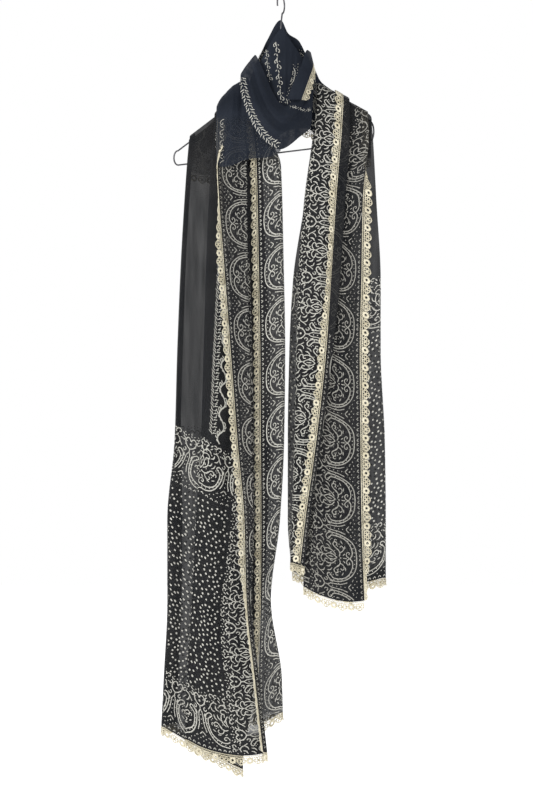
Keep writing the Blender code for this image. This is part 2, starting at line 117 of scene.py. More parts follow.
def use_group(tree, group, **values):
    """A group placed in a material, on the object's own coordinates, with its own values."""
    node = add_node(tree, "ShaderNodeGroup", node_tree=group)
    where = add_node(tree, "ShaderNodeTexCoord")
    tree.links.new(where.outputs["Object"], node.inputs["Where"])
    for label, value in values.items():
        node.inputs[label].default_value = value
    return node


def link_bump(tree, shader, height, strength, distance):
    """A height made into a bump on the shader's normal."""
    node = add_node(tree, "ShaderNodeBump")
    node.inputs["Strength"].default_value = strength
    node.inputs["Distance"].default_value = distance
    tree.links.new(height, node.inputs["Height"])
    tree.links.new(node.outputs["Normal"], shader.inputs["Normal"])


# Mottle: soft patches between two colours, with a mask to vary roughness by.
mottle, entry, leave = new_group("mottle", (("Where", "Vector"), ("Size", "Float"),
                                            ("Dark", "Color"), ("Light", "Color"),
                                            ("Smooth", "Float"), ("Rough", "Float")),
                                 (("Color", "Color"), ("Roughness", "Float")))
patches = add_node(mottle, "ShaderNodeTexNoise")
patches.inputs["Detail"].default_value = 4.0
mottle.links.new(entry.outputs["Where"], patches.inputs["Vector"])
mottle.links.new(entry.outputs["Size"], patches.inputs["Scale"])
spread = add_node(mottle, "ShaderNodeMapRange")
spread.inputs["From Min"].default_value = 0.3
spread.inputs["From Max"].default_value = 0.7
mottle.links.new(patches.outputs["Fac"], spread.inputs["Value"])
blend = add_node(mottle, "ShaderNodeMix", data_type="RGBA")
mottle.links.new(spread.outputs["Result"], blend.inputs["Factor"])
mottle.links.new(entry.outputs["Dark"], blend.inputs["A"])
mottle.links.new(entry.outputs["Light"], blend.inputs["B"])
mottle.links.new(blend.outputs["Result"], leave.inputs["Color"])
dullness = add_node(mottle, "ShaderNodeMapRange")
mottle.links.new(spread.outputs["Result"], dullness.inputs["Value"])
mottle.links.new(entry.outputs["Smooth"], dullness.inputs["To Min"])
mottle.links.new(entry.outputs["Rough"], dullness.inputs["To Max"])
mottle.links.new(dullness.outputs["Result"], leave.inputs["Roughness"])

# Grain: fine unevenness for a bump, such as drawn wire, screened pigment or paper.
grain, entry, leave = new_group("grain", (("Where", "Vector"), ("Size", "Float")),
                                (("Height", "Float"),))
specks = add_node(grain, "ShaderNodeTexNoise")
grain.links.new(entry.outputs["Where"], specks.inputs["Vector"])
grain.links.new(entry.outputs["Size"], specks.inputs["Scale"])
grain.links.new(specks.outputs["Fac"], leave.inputs["Height"])


def put_mottle(tree, shader, size, dark, light, smooth, rough):
    """Mottled colour and roughness for a shader."""
    tone = use_group(tree, mottle, Size=size, Dark=(*dark, 1.0), Light=(*light, 1.0),
                     Smooth=smooth, Rough=rough)
    tree.links.new(tone.outputs["Color"], shader.inputs["Base Color"])
    tree.links.new(tone.outputs["Roughness"], shader.inputs["Roughness"])


def mottled_material(name, size, dark, light, smooth, rough, grain_size, strength, distance):
    """A material with mottled colour and roughness over a fine grain."""
    material, tree, shader = new_material(name)
    put_mottle(tree, shader, size, dark, light, smooth, rough)
    fine = use_group(tree, grain, Size=grain_size)
    link_bump(tree, shader, fine.outputs["Height"], strength, distance)
    return material, tree, shader


steel, tree, shader = mottled_material("grey_steel_wire", 60.0, (0.08, 0.08, 0.09),
                                       (0.17, 0.17, 0.18), 0.28, 0.48, 900.0, 0.15, 0.0002)
shader.inputs["Metallic"].default_value = 0.9


def fit(item, slot, *nodes):
    """The piece stands for its solids and moves with the body; slot is not used."""
    if nodes:
        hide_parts(*nodes)
    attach(item, "root")


def smooth_path(points, step):
    """Points along a Catmull-Rom curve through the given ones."""
    points = np.asarray(points, float)
    padded = np.vstack([2 * points[0] - points[1], points, 2 * points[-1] - points[-2]])
    path = []
    for n in range(len(points) - 1):
        a, b, c, d = padded[n:n + 4]
        pieces = max(1, int(np.ceil(np.linalg.norm(c - b) / step)))
        for i in range(pieces):
            t = i / pieces
            path.append(0.5 * (2 * b + (c - a) * t + (2 * a - 5 * b + 4 * c - d) * t ** 2
                               + (3 * b - a - 3 * c + d) * t ** 3))
    path.append(points[-1])
    return np.array(path)


def tube(name, path, radius, material, sides=14):
    """A round wire along a path of points in mm."""
    path = np.asarray(path, float)
    tangents = np.gradient(path, axis=0)
    tangents /= np.linalg.norm(tangents, axis=1)[:, None]
    side = np.cross(tangents[0], (0.0, 1.0, 0.03))
    side /= np.linalg.norm(side)
    rings = []
    for point, tangent in zip(path, tangents):
        side = side - tangent * np.dot(side, tangent)
        side /= np.linalg.norm(side)
        other = np.cross(tangent, side)
        angles = np.arange(sides) * 2 * math.pi / sides
        rings.append(point + radius * (np.cos(angles)[:, None] * side
                                       + np.sin(angles)[:, None] * other))
    points = np.concatenate(rings)
    faces = []
    for j in range(len(path) - 1):
        for i in range(sides):
            a = j * sides + i
            b = j * sides + (i + 1) % sides
            faces.append((a, b, b + sides, a + sides))
    faces.append(tuple(range(sides))[::-1])
    faces.append(tuple(range((len(path) - 1) * sides, len(path) * sides)))
    return add_mesh(name, points, faces, material)


def shoulder_wire(side):
    """From the sleeve down one shoulder, round the lower corner and along half the bar."""
    slope = LEFT_SLOPE if side < 0 else RIGHT_SLOPE
    corner_x = LEFT_CORNER_X if side < 0 else RIGHT_CORNER_X
    bar_drop = BAR_LEFT_DROP if side < 0 else BAR_RIGHT_DROP
    start_x = side * 4.6
    end_x = corner_x - side * CORNER_RADIUS
    path = [(start_x, 0.0, -(NECK_DROP + slope * abs(start_x)))]
    first = NECK_DROP + slope * abs(end_x)
    for share in np.linspace(0.1, 1.0, 10):
        x = start_x + (end_x - start_x) * share
        path.append((x, 0.0, -(NECK_DROP + slope * abs(x))))
    for angle in range(15, 181, 15):
        lean = math.radians(angle)
        x = end_x + side * CORNER_RADIUS * math.sin(lean)
        path.append((x, 0.0, -(first + (bar_drop - first) * (1 - math.cos(lean)) / 2)))
    middle = ((LEFT_CORNER_X + RIGHT_CORNER_X) / 2, 0.0, -(BAR_LEFT_DROP + BAR_RIGHT_DROP) / 2)
    last = np.array(path[-1])
    for share in np.linspace(0.2, 1.0, 5):
        path.append(tuple(last * (1 - share) + np.array(middle) * share))
    return path


hook_radius = HOOK_INSIDE_RADIUS + WIRE_RADIUS
hook_line = [(0.0, 0.0, -NECK_DROP + 6), (0.0, 0.0, -110), (0.0, 0.0, -85),
             (0.0, 0.0, -HOOK_INSIDE_RADIUS - hook_radius - 26)]
for angle in range(-70, 201, 10):
    along = hook_radius * math.cos(math.radians(angle))
    height = -HOOK_INSIDE_RADIUS + hook_radius * math.sin(math.radians(angle))
    hook_line.append((along * math.cos(HOOK_TURN), along * math.sin(HOOK_TURN), height))
hook = tube("hanger_hook_wire", smooth_path(hook_line, 2.5), WIRE_RADIUS, steel, 18)
fit(hook, "grey_steel_wire", "hanger_hook")
for side, name, nodes in ((-1, "left_shoulder_wire", ("hanger_left_shoulder", "hanger_bar")),
                          (1, "right_shoulder_wire", ("hanger_right_shoulder",))):
    shoulder = tube(name, shoulder_wire(side), WIRE_RADIUS, steel)
    fit(shoulder, "grey_steel_wire", *nodes)
sleeve_rings = []
for height, radius in SLEEVE_PROFILE:
    angles = np.arange(SLEEVE_SIDES) * 2 * math.pi / SLEEVE_SIDES
    sleeve_rings.append(np.stack([radius * np.cos(angles), radius * np.sin(angles),
                                  np.full(SLEEVE_SIDES, height - NECK_DROP)], axis=1))
sleeve_faces = []
for first in range(0, (len(SLEEVE_PROFILE) - 1) * SLEEVE_SIDES, SLEEVE_SIDES):
    for i in range(SLEEVE_SIDES):
        a, b = first + i, first + (i + 1) % SLEEVE_SIDES
        sleeve_faces.append((a, b, b + SLEEVE_SIDES, a + SLEEVE_SIDES))
sleeve_faces.append(tuple(range(SLEEVE_SIDES))[::-1])
sleeve_faces.append(tuple(range(first + SLEEVE_SIDES, first + 2 * SLEEVE_SIDES)))
sleeve = add_mesh("hanger_sleeve", np.concatenate(sleeve_rings), sleeve_faces, steel)
sleeve.data.set_sharp_from_angle(angle=math.radians(35))
fit(sleeve, "grey_steel_wire", "hanger_neck_sleeve")
strap_hook_line = smooth_path([(-161, 0.6, -269), (-158, 0.8, -281), (-152, 0.8, -286),
                               (-146.5, 0.8, -282), (-146, 0.8, -276), (-149, 0.8, -273)], 1.5)
strap_hook = tube("strap_hook", strap_hook_line, STRAP_HOOK_RADIUS, steel, 10)
fit(strap_hook, "grey_steel_wire")

# Left tail: the longer end of the stole, sheer black crepe georgette gathered into ten
# stretches between folds. It is laid over the shoulder wire and held there by its weight
# alone; all its layers share the same soft waves and creases.
CLOTH_WALL = 1.0
SEAM_GAP = 0.3
FIRST_LAYER = WIRE_RADIUS + SEAM_GAP + CLOTH_WALL / 2 + 0.25
FREE_FORWARD = 7.0
FREE_DROP = 60.0
BACK_LENGTH = 42.0
CREASE_DEPTH = 1.7
WAVE_START = 260.0
WAVE_DEPTH = 3.0
WAVE_WIDTH = 96.0
WAVE_DROP = 1900.0
CLOSE_TURN = 2.5
WIDE_TURN = 6.0
LEFT_TAIL = {
    # drop, then the x of each fold, from the front selvedge to the rear selvedge
    "folds": [
        (243, -122, -70, -86, -68, -127, -59, -171, -161, -173, -44, -55),
        (329, -121, -65, -86, -63, -134, -36, -179, -170, -180, 0, -46),
        (509, -108, -63, -84, -59, -142, -29, -189, -181, -191, 5, -42),
        (680, -95, -59, -80, -55, -147, -21, -196, -187, -198, 8, -39),
        (851, -82, -55, -74, -51, -152, -21, -201, -191, -203, 6, -38),
        (1003, -69, -53, -65, -51, -162, -25, -215, -188, -217, -2, -37),
        (1155, -65, -57, -66, -55, -169, -36, -215, -190, -217, -19, -38),
        (1307, -49, -41, -51, -41, -179, -49, -222, -196, -224, 2, -42),
        (1459, -32, -24, -34, -24, -184, -72, -230, -200, -232, 5, -36),
    ],
    "hems": (1436, 1438, 1442, 1442, 1417, 1474, 1396, 1391, 1396, 1368, 1387),
    "ranks": (0, 1, 2, 3, 5, 6, 7, 8, 9, 4),
    "sags": (0, 0, 0, 15, 4, 4, 0, 0, 8, 2),
    "pitch": [(243, 2.3), (329, 3.4), (509, 5.0), (851, 6.0), (1474, 6.2)],
    # creases: top x, top drop, bottom x, bottom drop, half width, depth (minus is a trough)
    "creases": [
        (-142, 300, -160, 760, 7, -1.6),
        (-156, 360, -171, 900, 5, 1.2),
        (-112, 420, -131, 1010, 8, -1.5),
        (-92, 700, -112, 1330, 7, 1.5),
        (-128, 980, -150, 1400, 9, -1.9),
        (-70, 1010, -82, 1440, 6, 1.3),
        (-196, 620, -211, 1240, 6, -1.5),
        (-184, 900, -203, 1380, 5, 1.4),
        (-24, 380, -22, 940, 7, -1.4),
        (-8, 520, -14, 1010, 5, 1.2),
        (-20, 1080, -11, 1380, 8, -1.6),
        (-148, 1120, -176, 1430, 6, 1.3),
    ],
}


def follow(knots, values, at):
    """Read a smooth curve through a table's values without overshooting them."""
    knots = np.asarray(knots, float)
    values = np.asarray(values, float)
    at = np.clip(np.asarray(at, float), knots[0], knots[-1])
    steps = np.diff(knots)
    rises = np.diff(values) / steps
    slopes = np.zeros_like(values)
    for i in range(1, len(values) - 1):
        if rises[i - 1] * rises[i] > 0:
            slopes[i] = 2 * rises[i - 1] * rises[i] / (rises[i - 1] + rises[i])
    slopes[0] = rises[0]
    slopes[-1] = rises[-1]
    i = np.clip(np.searchsorted(knots, at) - 1, 0, len(steps) - 1)
    u = (at - knots[i]) / steps[i]
    return (values[i] * (1 + 2 * u) * (1 - u) ** 2 + values[i + 1] * u * u * (3 - 2 * u)
            + steps[i] * (slopes[i] * u * (1 - u) ** 2 - slopes[i + 1] * u * u * (1 - u)))


def read_off(table, at):
    """A straight-line reading between the pairs of a table."""
    return np.interp(at, *zip(*table))


def wire_slope(x):
    """How steep the hanger's shoulder is on either side of the neck."""
    return np.where(np.asarray(x) < 0, LEFT_SLOPE, RIGHT_SLOPE)


def wire_drop(x):
    """How far the hanger's shoulder wire is below the origin at an x."""
    return NECK_DROP + wire_slope(x) * np.abs(x)


def crease_shape(creases, x, drop):
    """Soft troughs and ridges, each along its own line and fading out at both ends."""
    total = np.zeros(np.broadcast(x, drop).shape)
    for top_x, top_drop, bottom_x, bottom_drop, width, depth in creases:
        along = (drop - top_drop) / (bottom_drop - top_drop)
        centre = top_x + (bottom_x - top_x) * along + 3.0 * np.sin(4.1 * along + top_x)
        fade = np.clip(np.minimum(along, 1 - along) * 4, 0, 1)
        fade = fade * fade * (3 - 2 * fade)
        total += depth * fade * np.exp(-((x - centre) / width) ** 2)
    return total


def place(tail, x, drop, top, rank, row):
    """Points of a tail: row is an angle over the shoulder, "back", or None where it hangs."""
    last = max(tail["ranks"])
    if row is None:
        free = np.maximum(0.0, drop - top)
        out = FIRST_LAYER + (last - rank) * read_off(tail["pitch"], drop)
        out = out + FREE_FORWARD * np.minimum(1.0, free / FREE_DROP)
        ramp = np.minimum(1.0, free / WAVE_START)
        wave = np.sin(2 * math.pi * (x / WAVE_WIDTH + drop / WAVE_DROP) + 0.6)
        out = out + ramp * WAVE_DEPTH * wave
        out = out - ramp * CREASE_DEPTH * crease_shape(tail["creases"], x, drop)
        return np.stack(np.broadcast_arrays(x, -out, -drop), axis=-1)
    out = FIRST_LAYER + (last - rank) * tail["pitch"][0][1]
    if row == "back":
        return np.stack(np.broadcast_arrays(x, out, -(wire_drop(x) + BACK_LENGTH)), axis=-1)
    angle = math.radians(row)
    lift = out * math.sin(angle) * np.hypot(1.0, wire_slope(x))
    return np.stack(np.broadcast_arrays(x, -out * math.cos(angle), lift - wire_drop(x)), axis=-1)


def tail_stations(rows_down):
    """Crosswise lines from the hem up, over the wire and down behind it."""
    stations = [(share, None) for share in np.linspace(1.0, 0.0, rows_down)]
    stations += [(0.0, float(angle)) for angle in range(12, 181, 12)]
    return stations + [(0.0, "back")]


def fold_places(tail, share, row):
    """The x, wire crossing and hem of every fold on one crosswise line."""
    drops = [entry[0] for entry in tail["folds"]]
    folds = []
    for i, hem in enumerate(tail["hems"]):
        column = [entry[i + 1] for entry in tail["folds"]]
        crossing = column[0]
        for _ in range(6):
            crossing = float(follow(drops, column, wire_drop(crossing)))
        top = float(wire_drop(crossing))
        level = top + (hem - top) * share
        folds.append((float(follow(drops, column, level)) if row is None else crossing,
                      crossing, hem))
    return folds


def turn_reach(tail, k):
    """How round a fold turns: wider where other layers lie between its two sides."""
    jump = abs(tail["ranks"][k + 1] - tail["ranks"][k])
    return CLOSE_TURN if jump == 1 else WIDE_TURN


def tail_line(tail, share, row, steps):
    """One crosswise line, fold by fold, with round turns at the folds."""
    folds = fold_places(tail, share, row)
    last = len(folds) - 2
    xs, tops, hems, ranks = [], [], [], []
    for k in range(last + 1):
        way = 1 if k % 2 == 0 else -1
        near_reach = way * turn_reach(tail, k - 1) if k > 0 else 0
        far_reach = way * turn_reach(tail, k) if k < last else 0
        w = np.linspace(0, 1, steps[k] + 1)
        xs.append((folds[k][0] + near_reach) * (1 - w) + (folds[k + 1][0] - far_reach) * w)
        tops.append((folds[k][1] + near_reach) * (1 - w) + (folds[k + 1][1] - far_reach) * w)
        hems.append(folds[k][2] * (1 - w) + folds[k + 1][2] * w + tail["sags"][k] * 4 * w * (1 - w))
        ranks.append(np.full(len(w), float(tail["ranks"][k])))
        if k < last:
            angles = np.radians((-60, -30, 0, 30, 60))
            middle = (tail["ranks"][k] + tail["ranks"][k + 1]) / 2
            half = (tail["ranks"][k + 1] - tail["ranks"][k]) / 2
            out = far_reach * (np.cos(angles) - 1)
            xs.append(folds[k + 1][0] + out)
            tops.append(folds[k + 1][1] + out)
            hems.append(np.full(5, float(folds[k + 1][2])))
            ranks.append(middle + half * np.sin(angles))
    x, crossing, hem, rank = (np.concatenate(part) for part in (xs, tops, hems, ranks))
    top = wire_drop(crossing)
    return place(tail, x, top + (hem - top) * share, top, rank, row)


def tail_grid(tail, rows_down, gap):
    """All crosswise lines of a tail, hem first; each has the same number of points."""
    steps = []
    for k in range(len(tail["ranks"])):
        widest = max(abs(entry[k + 2] - entry[k + 1]) for entry in tail["folds"])
        steps.append(max(2, int(round(widest / gap))))
    return np.array([tail_line(tail, share, row, steps) for share, row in tail_stations(rows_down)])


def grid_faces(rows, columns):
    """The square faces between rows and columns of points."""
    index = np.arange(rows * columns).reshape(rows, columns)
    return np.stack([index[:-1, :-1], index[:-1, 1:], index[1:, 1:], index[1:, :-1]],
                    axis=-1).reshape(-1, 4)


def add_sheet(name, grid, material):
    """A thin sheet of cloth from its rows of points."""
    rows, columns = grid.shape[:2]
    return add_mesh(name, grid.reshape(-1, 3), grid_faces(rows, columns), material)


# Crepe: the fine pebble of georgette and its long soft pulls down the drop, and how much
# light its open weave lets through.
crepe, entry, leave = new_group("crepe", (("Where", "Vector"), ("Thin", "Float"),
                                          ("Thick", "Float")),
                                (("Height", "Float"), ("Alpha", "Float")))
pebble = add_node(crepe, "ShaderNodeTexNoise")
pebble.inputs["Scale"].default_value = 850.0
pebble.inputs["Detail"].default_value = 3.0
crepe.links.new(entry.outputs["Where"], pebble.inputs["Vector"])
drawn_out = add_node(crepe, "ShaderNodeVectorMath", operation="MULTIPLY")
drawn_out.inputs[1].default_value = (1.0, 1.0, 0.12)
crepe.links.new(entry.outputs["Where"], drawn_out.inputs[0])
pulls = add_node(crepe, "ShaderNodeTexNoise")
pulls.inputs["Scale"].default_value = 95.0
pulls.inputs["Detail"].default_value = 3.0
crepe.links.new(drawn_out.outputs["Vector"], pulls.inputs["Vector"])
both = add_node(crepe, "ShaderNodeMath", operation="MULTIPLY_ADD")
both.inputs[1].default_value = 3.0
crepe.links.new(pulls.outputs["Fac"], both.inputs[0])
crepe.links.new(pebble.outputs["Fac"], both.inputs[2])
crepe.links.new(both.outputs["Value"], leave.inputs["Height"])
weave = add_node(crepe, "ShaderNodeMapRange")
weave.inputs["From Min"].default_value = 1.55
weave.inputs["From Max"].default_value = 2.45
crepe.links.new(both.outputs["Value"], weave.inputs["Value"])
crepe.links.new(entry.outputs["Thin"], weave.inputs["To Min"])
crepe.links.new(entry.outputs["Thick"], weave.inputs["To Max"])
crepe.links.new(weave.outputs["Result"], leave.inputs["Alpha"])


def georgette_cloth(name, dark, light, thin, thick):
    """Matt crepe georgette; thin and thick are how opaque its open and close places are."""
    material, tree, shader = new_material(name)
    put_mottle(tree, shader, 11.0, dark, light, 0.66, 0.82)
    weave = use_group(tree, crepe, Thin=thin, Thick=thick)
    link_bump(tree, shader, weave.outputs["Height"], 0.6, 0.0007)
    tree.links.new(weave.outputs["Alpha"], shader.inputs["Alpha"])
    shader.inputs["Specular IOR Level"].default_value = 0.12
    shader.inputs["Sheen Weight"].default_value = 0.07
    shader.inputs["Sheen Roughness"].default_value = 0.4
    shader.inputs["Sheen Tint"].default_value = (0.62, 0.70, 0.90, 1.0)
    return material, tree, shader, weave


def close_layers(tree, shader, weave, places):
    """Let less light through where layers lie together: from one height to the other, in m,
    and only right of an x, with a soft edge of 30 mm."""
    where = add_node(tree, "ShaderNodeTexCoord")
    parts = add_node(tree, "ShaderNodeSeparateXYZ")
    tree.links.new(where.outputs["Object"], parts.inputs["Vector"])
    alpha = weave.outputs["Alpha"]
    for open_at, close_at, right_of in places:
        layers = add_node(tree, "ShaderNodeMapRange")
        layers.inputs["From Min"].default_value = open_at
        layers.inputs["From Max"].default_value = close_at
        tree.links.new(parts.outputs["Z"], layers.inputs["Value"])
        side = add_node(tree, "ShaderNodeMapRange")
        side.inputs["From Min"].default_value = right_of
        side.inputs["From Max"].default_value = right_of + 0.03
        tree.links.new(parts.outputs["X"], side.inputs["Value"])
        there = add_node(tree, "ShaderNodeMath", operation="MULTIPLY")
        tree.links.new(layers.outputs["Result"], there.inputs[0])
        tree.links.new(side.outputs["Result"], there.inputs[1])
        cover = add_node(tree, "ShaderNodeMath", operation="MAXIMUM")
        tree.links.new(there.outputs["Value"], cover.inputs[0])
        tree.links.new(alpha, cover.inputs[1])
        alpha = cover.outputs["Value"]
    tree.links.new(alpha, shader.inputs["Alpha"])


georgette, tree, shader, weave = georgette_cloth("black_georgette", (0.009, 0.010, 0.012),
                                                 (0.024, 0.024, 0.025), 0.74, 0.84)
# The hems are turned twice and the layers hang close there.
LEFT_HEM = (-1.35, -1.41, -1.0)
RIGHT_HEM = (-1.05, -1.10, 0.0)
close_layers(tree, shader, weave, (LEFT_HEM, RIGHT_HEM))

left_grid = tail_grid(LEFT_TAIL, 170, 4.5)
left_tail = add_sheet("left_tail_cloth", left_grid, georgette)
fit(left_tail, "black_georgette", "left_tail")

# Right tail: the shorter end of the same georgette, gathered into seven stretches and laid
# over the other shoulder wire, with its front selvedge uppermost.
RIGHT_TAIL = {
    "folds": [
        (205, 120, 131, 68, 122, 72, 171, 87, 162),
        (262, 116, 131, 62, 135, 65, 175, 89, 168),
        (395, 105, 122, 44, 135, 46, 182, 86, 155),
        (547, 95, 112, 32, 135, 23, 190, 78, 152),
        (680, 86, 99, 29, 135, 16, 190, 70, 149),
        (851, 67, 76, 25, 135, 13, 198, 55, 150),
        (1003, 46, 54, 20, 135, 13, 200, 44, 152),
        (1155, 29, 37, 15, 135, 28, 200, 42, 158),
    ],
    "hems": (1083, 1089, 1083, 1148, 1102, 1113, 1129, 1155),
    "ranks": (0, 1, 4, 5, 6, 3, 2),
    "sags": (0, 0, 4, 4, 6, 6, 12),
    "pitch": [(205, 3.0), (300, 4.0), (509, 5.5), (851, 6.5), (1155, 6.8)],
    "creases": [
        (84, 300, 66, 700, 7, -1.6),
        (100, 380, 82, 820, 5, 1.3),
        (52, 540, 38, 980, 6, -1.3),
        (118, 420, 112, 1010, 8, -1.8),
        (141, 330, 136, 900, 5, 1.3),
        (160, 300, 172, 860, 7, -1.5),
        (176, 520, 186, 1060, 5, 1.2),
        (92, 840, 88, 1110, 8, 1.6),
        (60, 860, 64, 1100, 6, -1.4),
    ],
}
right_grid = tail_grid(RIGHT_TAIL, 140, 4.5)
right_tail = add_sheet("right_tail_cloth", right_grid, georgette)
fit(right_tail, "black_georgette", "right_tail")

# Cowl: the middle of the stole, bunched until no light comes through it. It hangs in front
# of the neck in soft curved pleats from one arm of the loop to the other.
SWAG_STATIONS = [
    # inner x, inner y, inner drop, outer x, outer y, outer drop, belly
    (-54, 2.0, 118, -71, -20, 144, 3),
    (-49, -1.5, 114, -77, -34, 160, 4),
    (-34, -22, 146, -77, -56, 192, 7),
    (-18, -36, 186, -66, -60, 232, 9),
    (-4, -45, 211, -43, -62, 273, 11),
    (9, -47, 219, -3, -61, 303, 12),
    (23, -42, 205, 34, -52, 279, 10),
    (32, -34, 177, 57, -36, 254, 6),
    (42, -22, 142, 60, -28, 214, 4),
    (51, 7.6, 119, 64, -16, 148, 2),
]
SWAG_PLEATS = [
    # share across where it starts, share where it ends, half width, depth
    (0.16, 0.30, 0.055, 1.6),
    (0.34, 0.46, 0.05, -1.8),
    (0.52, 0.66, 0.06, 1.5),
    (0.74, 0.80, 0.05, -1.4),
    (0.90, 0.92, 0.04, 1.0),
]


def station_lines(stations, columns):
    """How far along each point is, the inner and the outer edge, and what else is listed."""
    knots = np.arange(len(stations))
    at = np.linspace(0, knots[-1], columns)
    values = [follow(knots, column, at) for column in zip(*stations)]
    inner = np.stack([values[0], values[1], -values[2]], axis=1)
    outer = np.stack([values[3], values[4], -values[5]], axis=1)
    return at / knots[-1], inner, outer, values[6:]


def swag_grid(columns, rows):
    """Rows from the cowl's outer edge in to its inner edge."""
    along, inner, outer, (belly,) = station_lines(SWAG_STATIONS, columns)
    grid = []
    for share in np.linspace(1, 0, rows):
        line = inner * (1 - share) + outer * share
        swell = math.sin(math.pi * share)
        relief = 1.6 * math.sin(3 * math.pi * share + 0.4)
        for start, end, width, depth in SWAG_PLEATS:
            centre = start + (end - start) * along + 0.02 * np.sin(7 * along + 9 * start)
            relief = relief + depth * np.exp(-((share - centre) / width) ** 2)
        line[:, 1] -= swell * (belly + relief)
        grid.append(line)
    return np.array(grid)


cowl_grid = swag_grid(150, 60)
# Tones of the georgette round the neck: the same black cloth as the tails, tinted blue here as a
# painted cast of the light on the upper parts.
NECK_TONES_PAINTED_BLUE_LIGHT = ((0.008, 0.011, 0.018), (0.021, 0.026, 0.037))
bunched, *_ = georgette_cloth("bunched_georgette_painted_blue_light", *NECK_TONES_PAINTED_BLUE_LIGHT, 0.96, 1.0)
cowl = add_sheet("cowl_cloth", cowl_grid, bunched)
fit(cowl, "black_georgette", "front_swag")

# Inner fold: the stretch of bunched georgette that rises in front of the hanger's shank to
# the peak and runs down behind the cowl, where the loop holds it.
INNER_FOLD_STATIONS = [
    # x, then drop and y of its top edge, its middle, its lower part and its foot
    (-40, 128, -1.0, 142, -5, 156, -9, 168, -12),
    (-25, 100, -2.5, 140, -8, 175, -20, 195, -28),
    (-10, 76, -2.4, 140, -9, 193, -31, 215, -38),
    (1, 64, -2.3, 140, -9, 201, -35, 226, -41),
    (12, 78, -2.4, 140, -9, 201, -35, 226, -41),
    (25, 96, -2.5, 138, -8.5, 185, -29, 205, -35.5),
    (36, 112, -3.0, 134, -8, 155, -18, 175, -24),
    (45, 122, -1.0, 130, -4, 142, -8, 158, -12),
]
INNER_FOLD_CREASES = [
    # x at the top, x at the foot, half width, depth towards the front
    (-22, -12, 3.5, 1.1),
    (-7, -3, 3, 1.3),
    (9, 8, 3, 1.0),
    (22, 15, 3.5, 1.2),
    (33, 24, 3, 0.9),
]
INNER_FOLD_SHARES = (0, 0.4, 0.8, 1)


def straight_creases(creases, x, share):
    """Ridges and troughs, each on a straight line from its first x to its second."""
    relief = 0.0
    for start_x, end_x, width, depth in creases:
        centre = start_x + (end_x - start_x) * share
        relief = relief + depth * np.exp(-((x - centre) / width) ** 2)
    return relief


inner_columns = list(zip(*INNER_FOLD_STATIONS))
inner_rows = []
share = np.linspace(1, 0, 60)
for x in np.linspace(inner_columns[0][0], inner_columns[0][-1], 90):
    values = [float(follow(inner_columns[0], inner_columns[c], x)) for c in range(1, 9)]
    level = follow(INNER_FOLD_SHARES, values[0::2], share)
    depth = follow(INNER_FOLD_SHARES, values[1::2], share)
    relief = straight_creases(INNER_FOLD_CREASES, x, share)
    relief *= np.sin(math.pi * np.clip(share, 0, 1)) ** 0.7
    inner_rows.append(np.stack([np.full(len(share), x), depth - relief, -level], axis=1))
inner_grid = np.array(inner_rows).transpose(1, 0, 2)
inner_fold = add_sheet("neck_inner_fold_cloth", inner_grid, bunched)
fit(inner_fold, "black_georgette", "neck_inner_fold")

# Neck fold: the narrow turned edge of the georgette on the cowl's right arm. The lace is sewn
# to its outer side.
NECK_FOLD_STATIONS = [
    # inner x, inner y, inner drop, outer x, outer y, outer drop
    (57, -7.5, 110, 62, -14.5, 132),
    (50.5, -9.5, 106, 61.4, -17.5, 138),
    (45, -14.0, 115, 59.6, -23.0, 146),
    (40.2, -20.5, 132, 56, -29.7, 156),
    (30.6, -33.9, 157, 50, -39.7, 174),
    (20.6, -43.9, 182, 44, -48.8, 191),
    (11, -53.4, 208, 38, -57.4, 209),
]
inner, outer = station_lines(NECK_FOLD_STATIONS, 60)[1:3]
neck_grid = []
for share in np.linspace(1, 0, 16):
    line = inner * (1 - share) + outer * share
    line[:, 1] -= 2.5 * math.sin(math.pi * share) + 0.5 * math.sin(3 * math.pi * share)
    neck_grid.append(line)
neck_grid = np.array(neck_grid)
neck_fold = add_sheet("neck_fold_cloth", neck_grid, bunched)
fit(neck_fold, "black_georgette", "right_neck_fold")

# Shoulder fold: the stretch of georgette that comes over the left shoulder wire from behind
# and hangs in front of the tail. It is doubled over the wire and a single layer low down.
SHOULDER_STATIONS = [
    # x, bottom drop, bottom y, distance from the wire, reach: 1 at the wire, 2 right over it
    (-123, 331, -47, 29, 1.62),
    (-118, 332, -47, 35.5, 1.62),
    (-112, 334, -47.3, 39.5, 1.62),
    (-101, 334, -48.3, 43, 1.61),
    (-84, 328, -49, 43, 1.60),
    (-71, 322, -49, 42, 1.50),
    (-62, 320, -49, 42, 1.25),
    (-50, 318, -49, 44, 0.70),
    (-32, 317, -49, 46, 0.40),
    (-15, 314, -49, 48, 0.30),
    (-1, 304, -50, 50, 0.20),
]
SHOULDER_CREASES = [
    # x at the bottom, x at the top, half width, depth
    (-114, -106, 4, -1.2),
    (-98, -92, 5, 1.4),
    (-84, -74, 5, -1.6),
    (-64, -58, 6, 1.3),
    (-44, -46, 5, -1.3),
    (-22, -30, 5, 1.0),
]
columns = list(zip(*SHOULDER_STATIONS))
across = np.linspace(columns[0][0], columns[0][-1], 90)
bottom, bottom_y, out, reach = (follow(columns[0], columns[c], across) for c in range(1, 5))
shoulder_grid = []
for share in np.linspace(0, 1, 60):
    at = reach * share
    rise = np.minimum(at, 1.0)
    level = bottom + (wire_drop(across) - bottom) * rise
    lean = np.radians(180 * np.maximum(0.0, at - 1.0))
    relief = straight_creases(SHOULDER_CREASES, across, rise)
    stand = bottom_y * (1 - rise) - (out + relief) * rise
    shoulder_grid.append(np.stack([across, stand * np.cos(lean) - relief * (1 - rise),
                                   (out + relief) * np.sin(lean) - level], axis=1))
shoulder_grid = np.array(shoulder_grid)
DOUBLED = (-0.300, -0.235, -1.0)
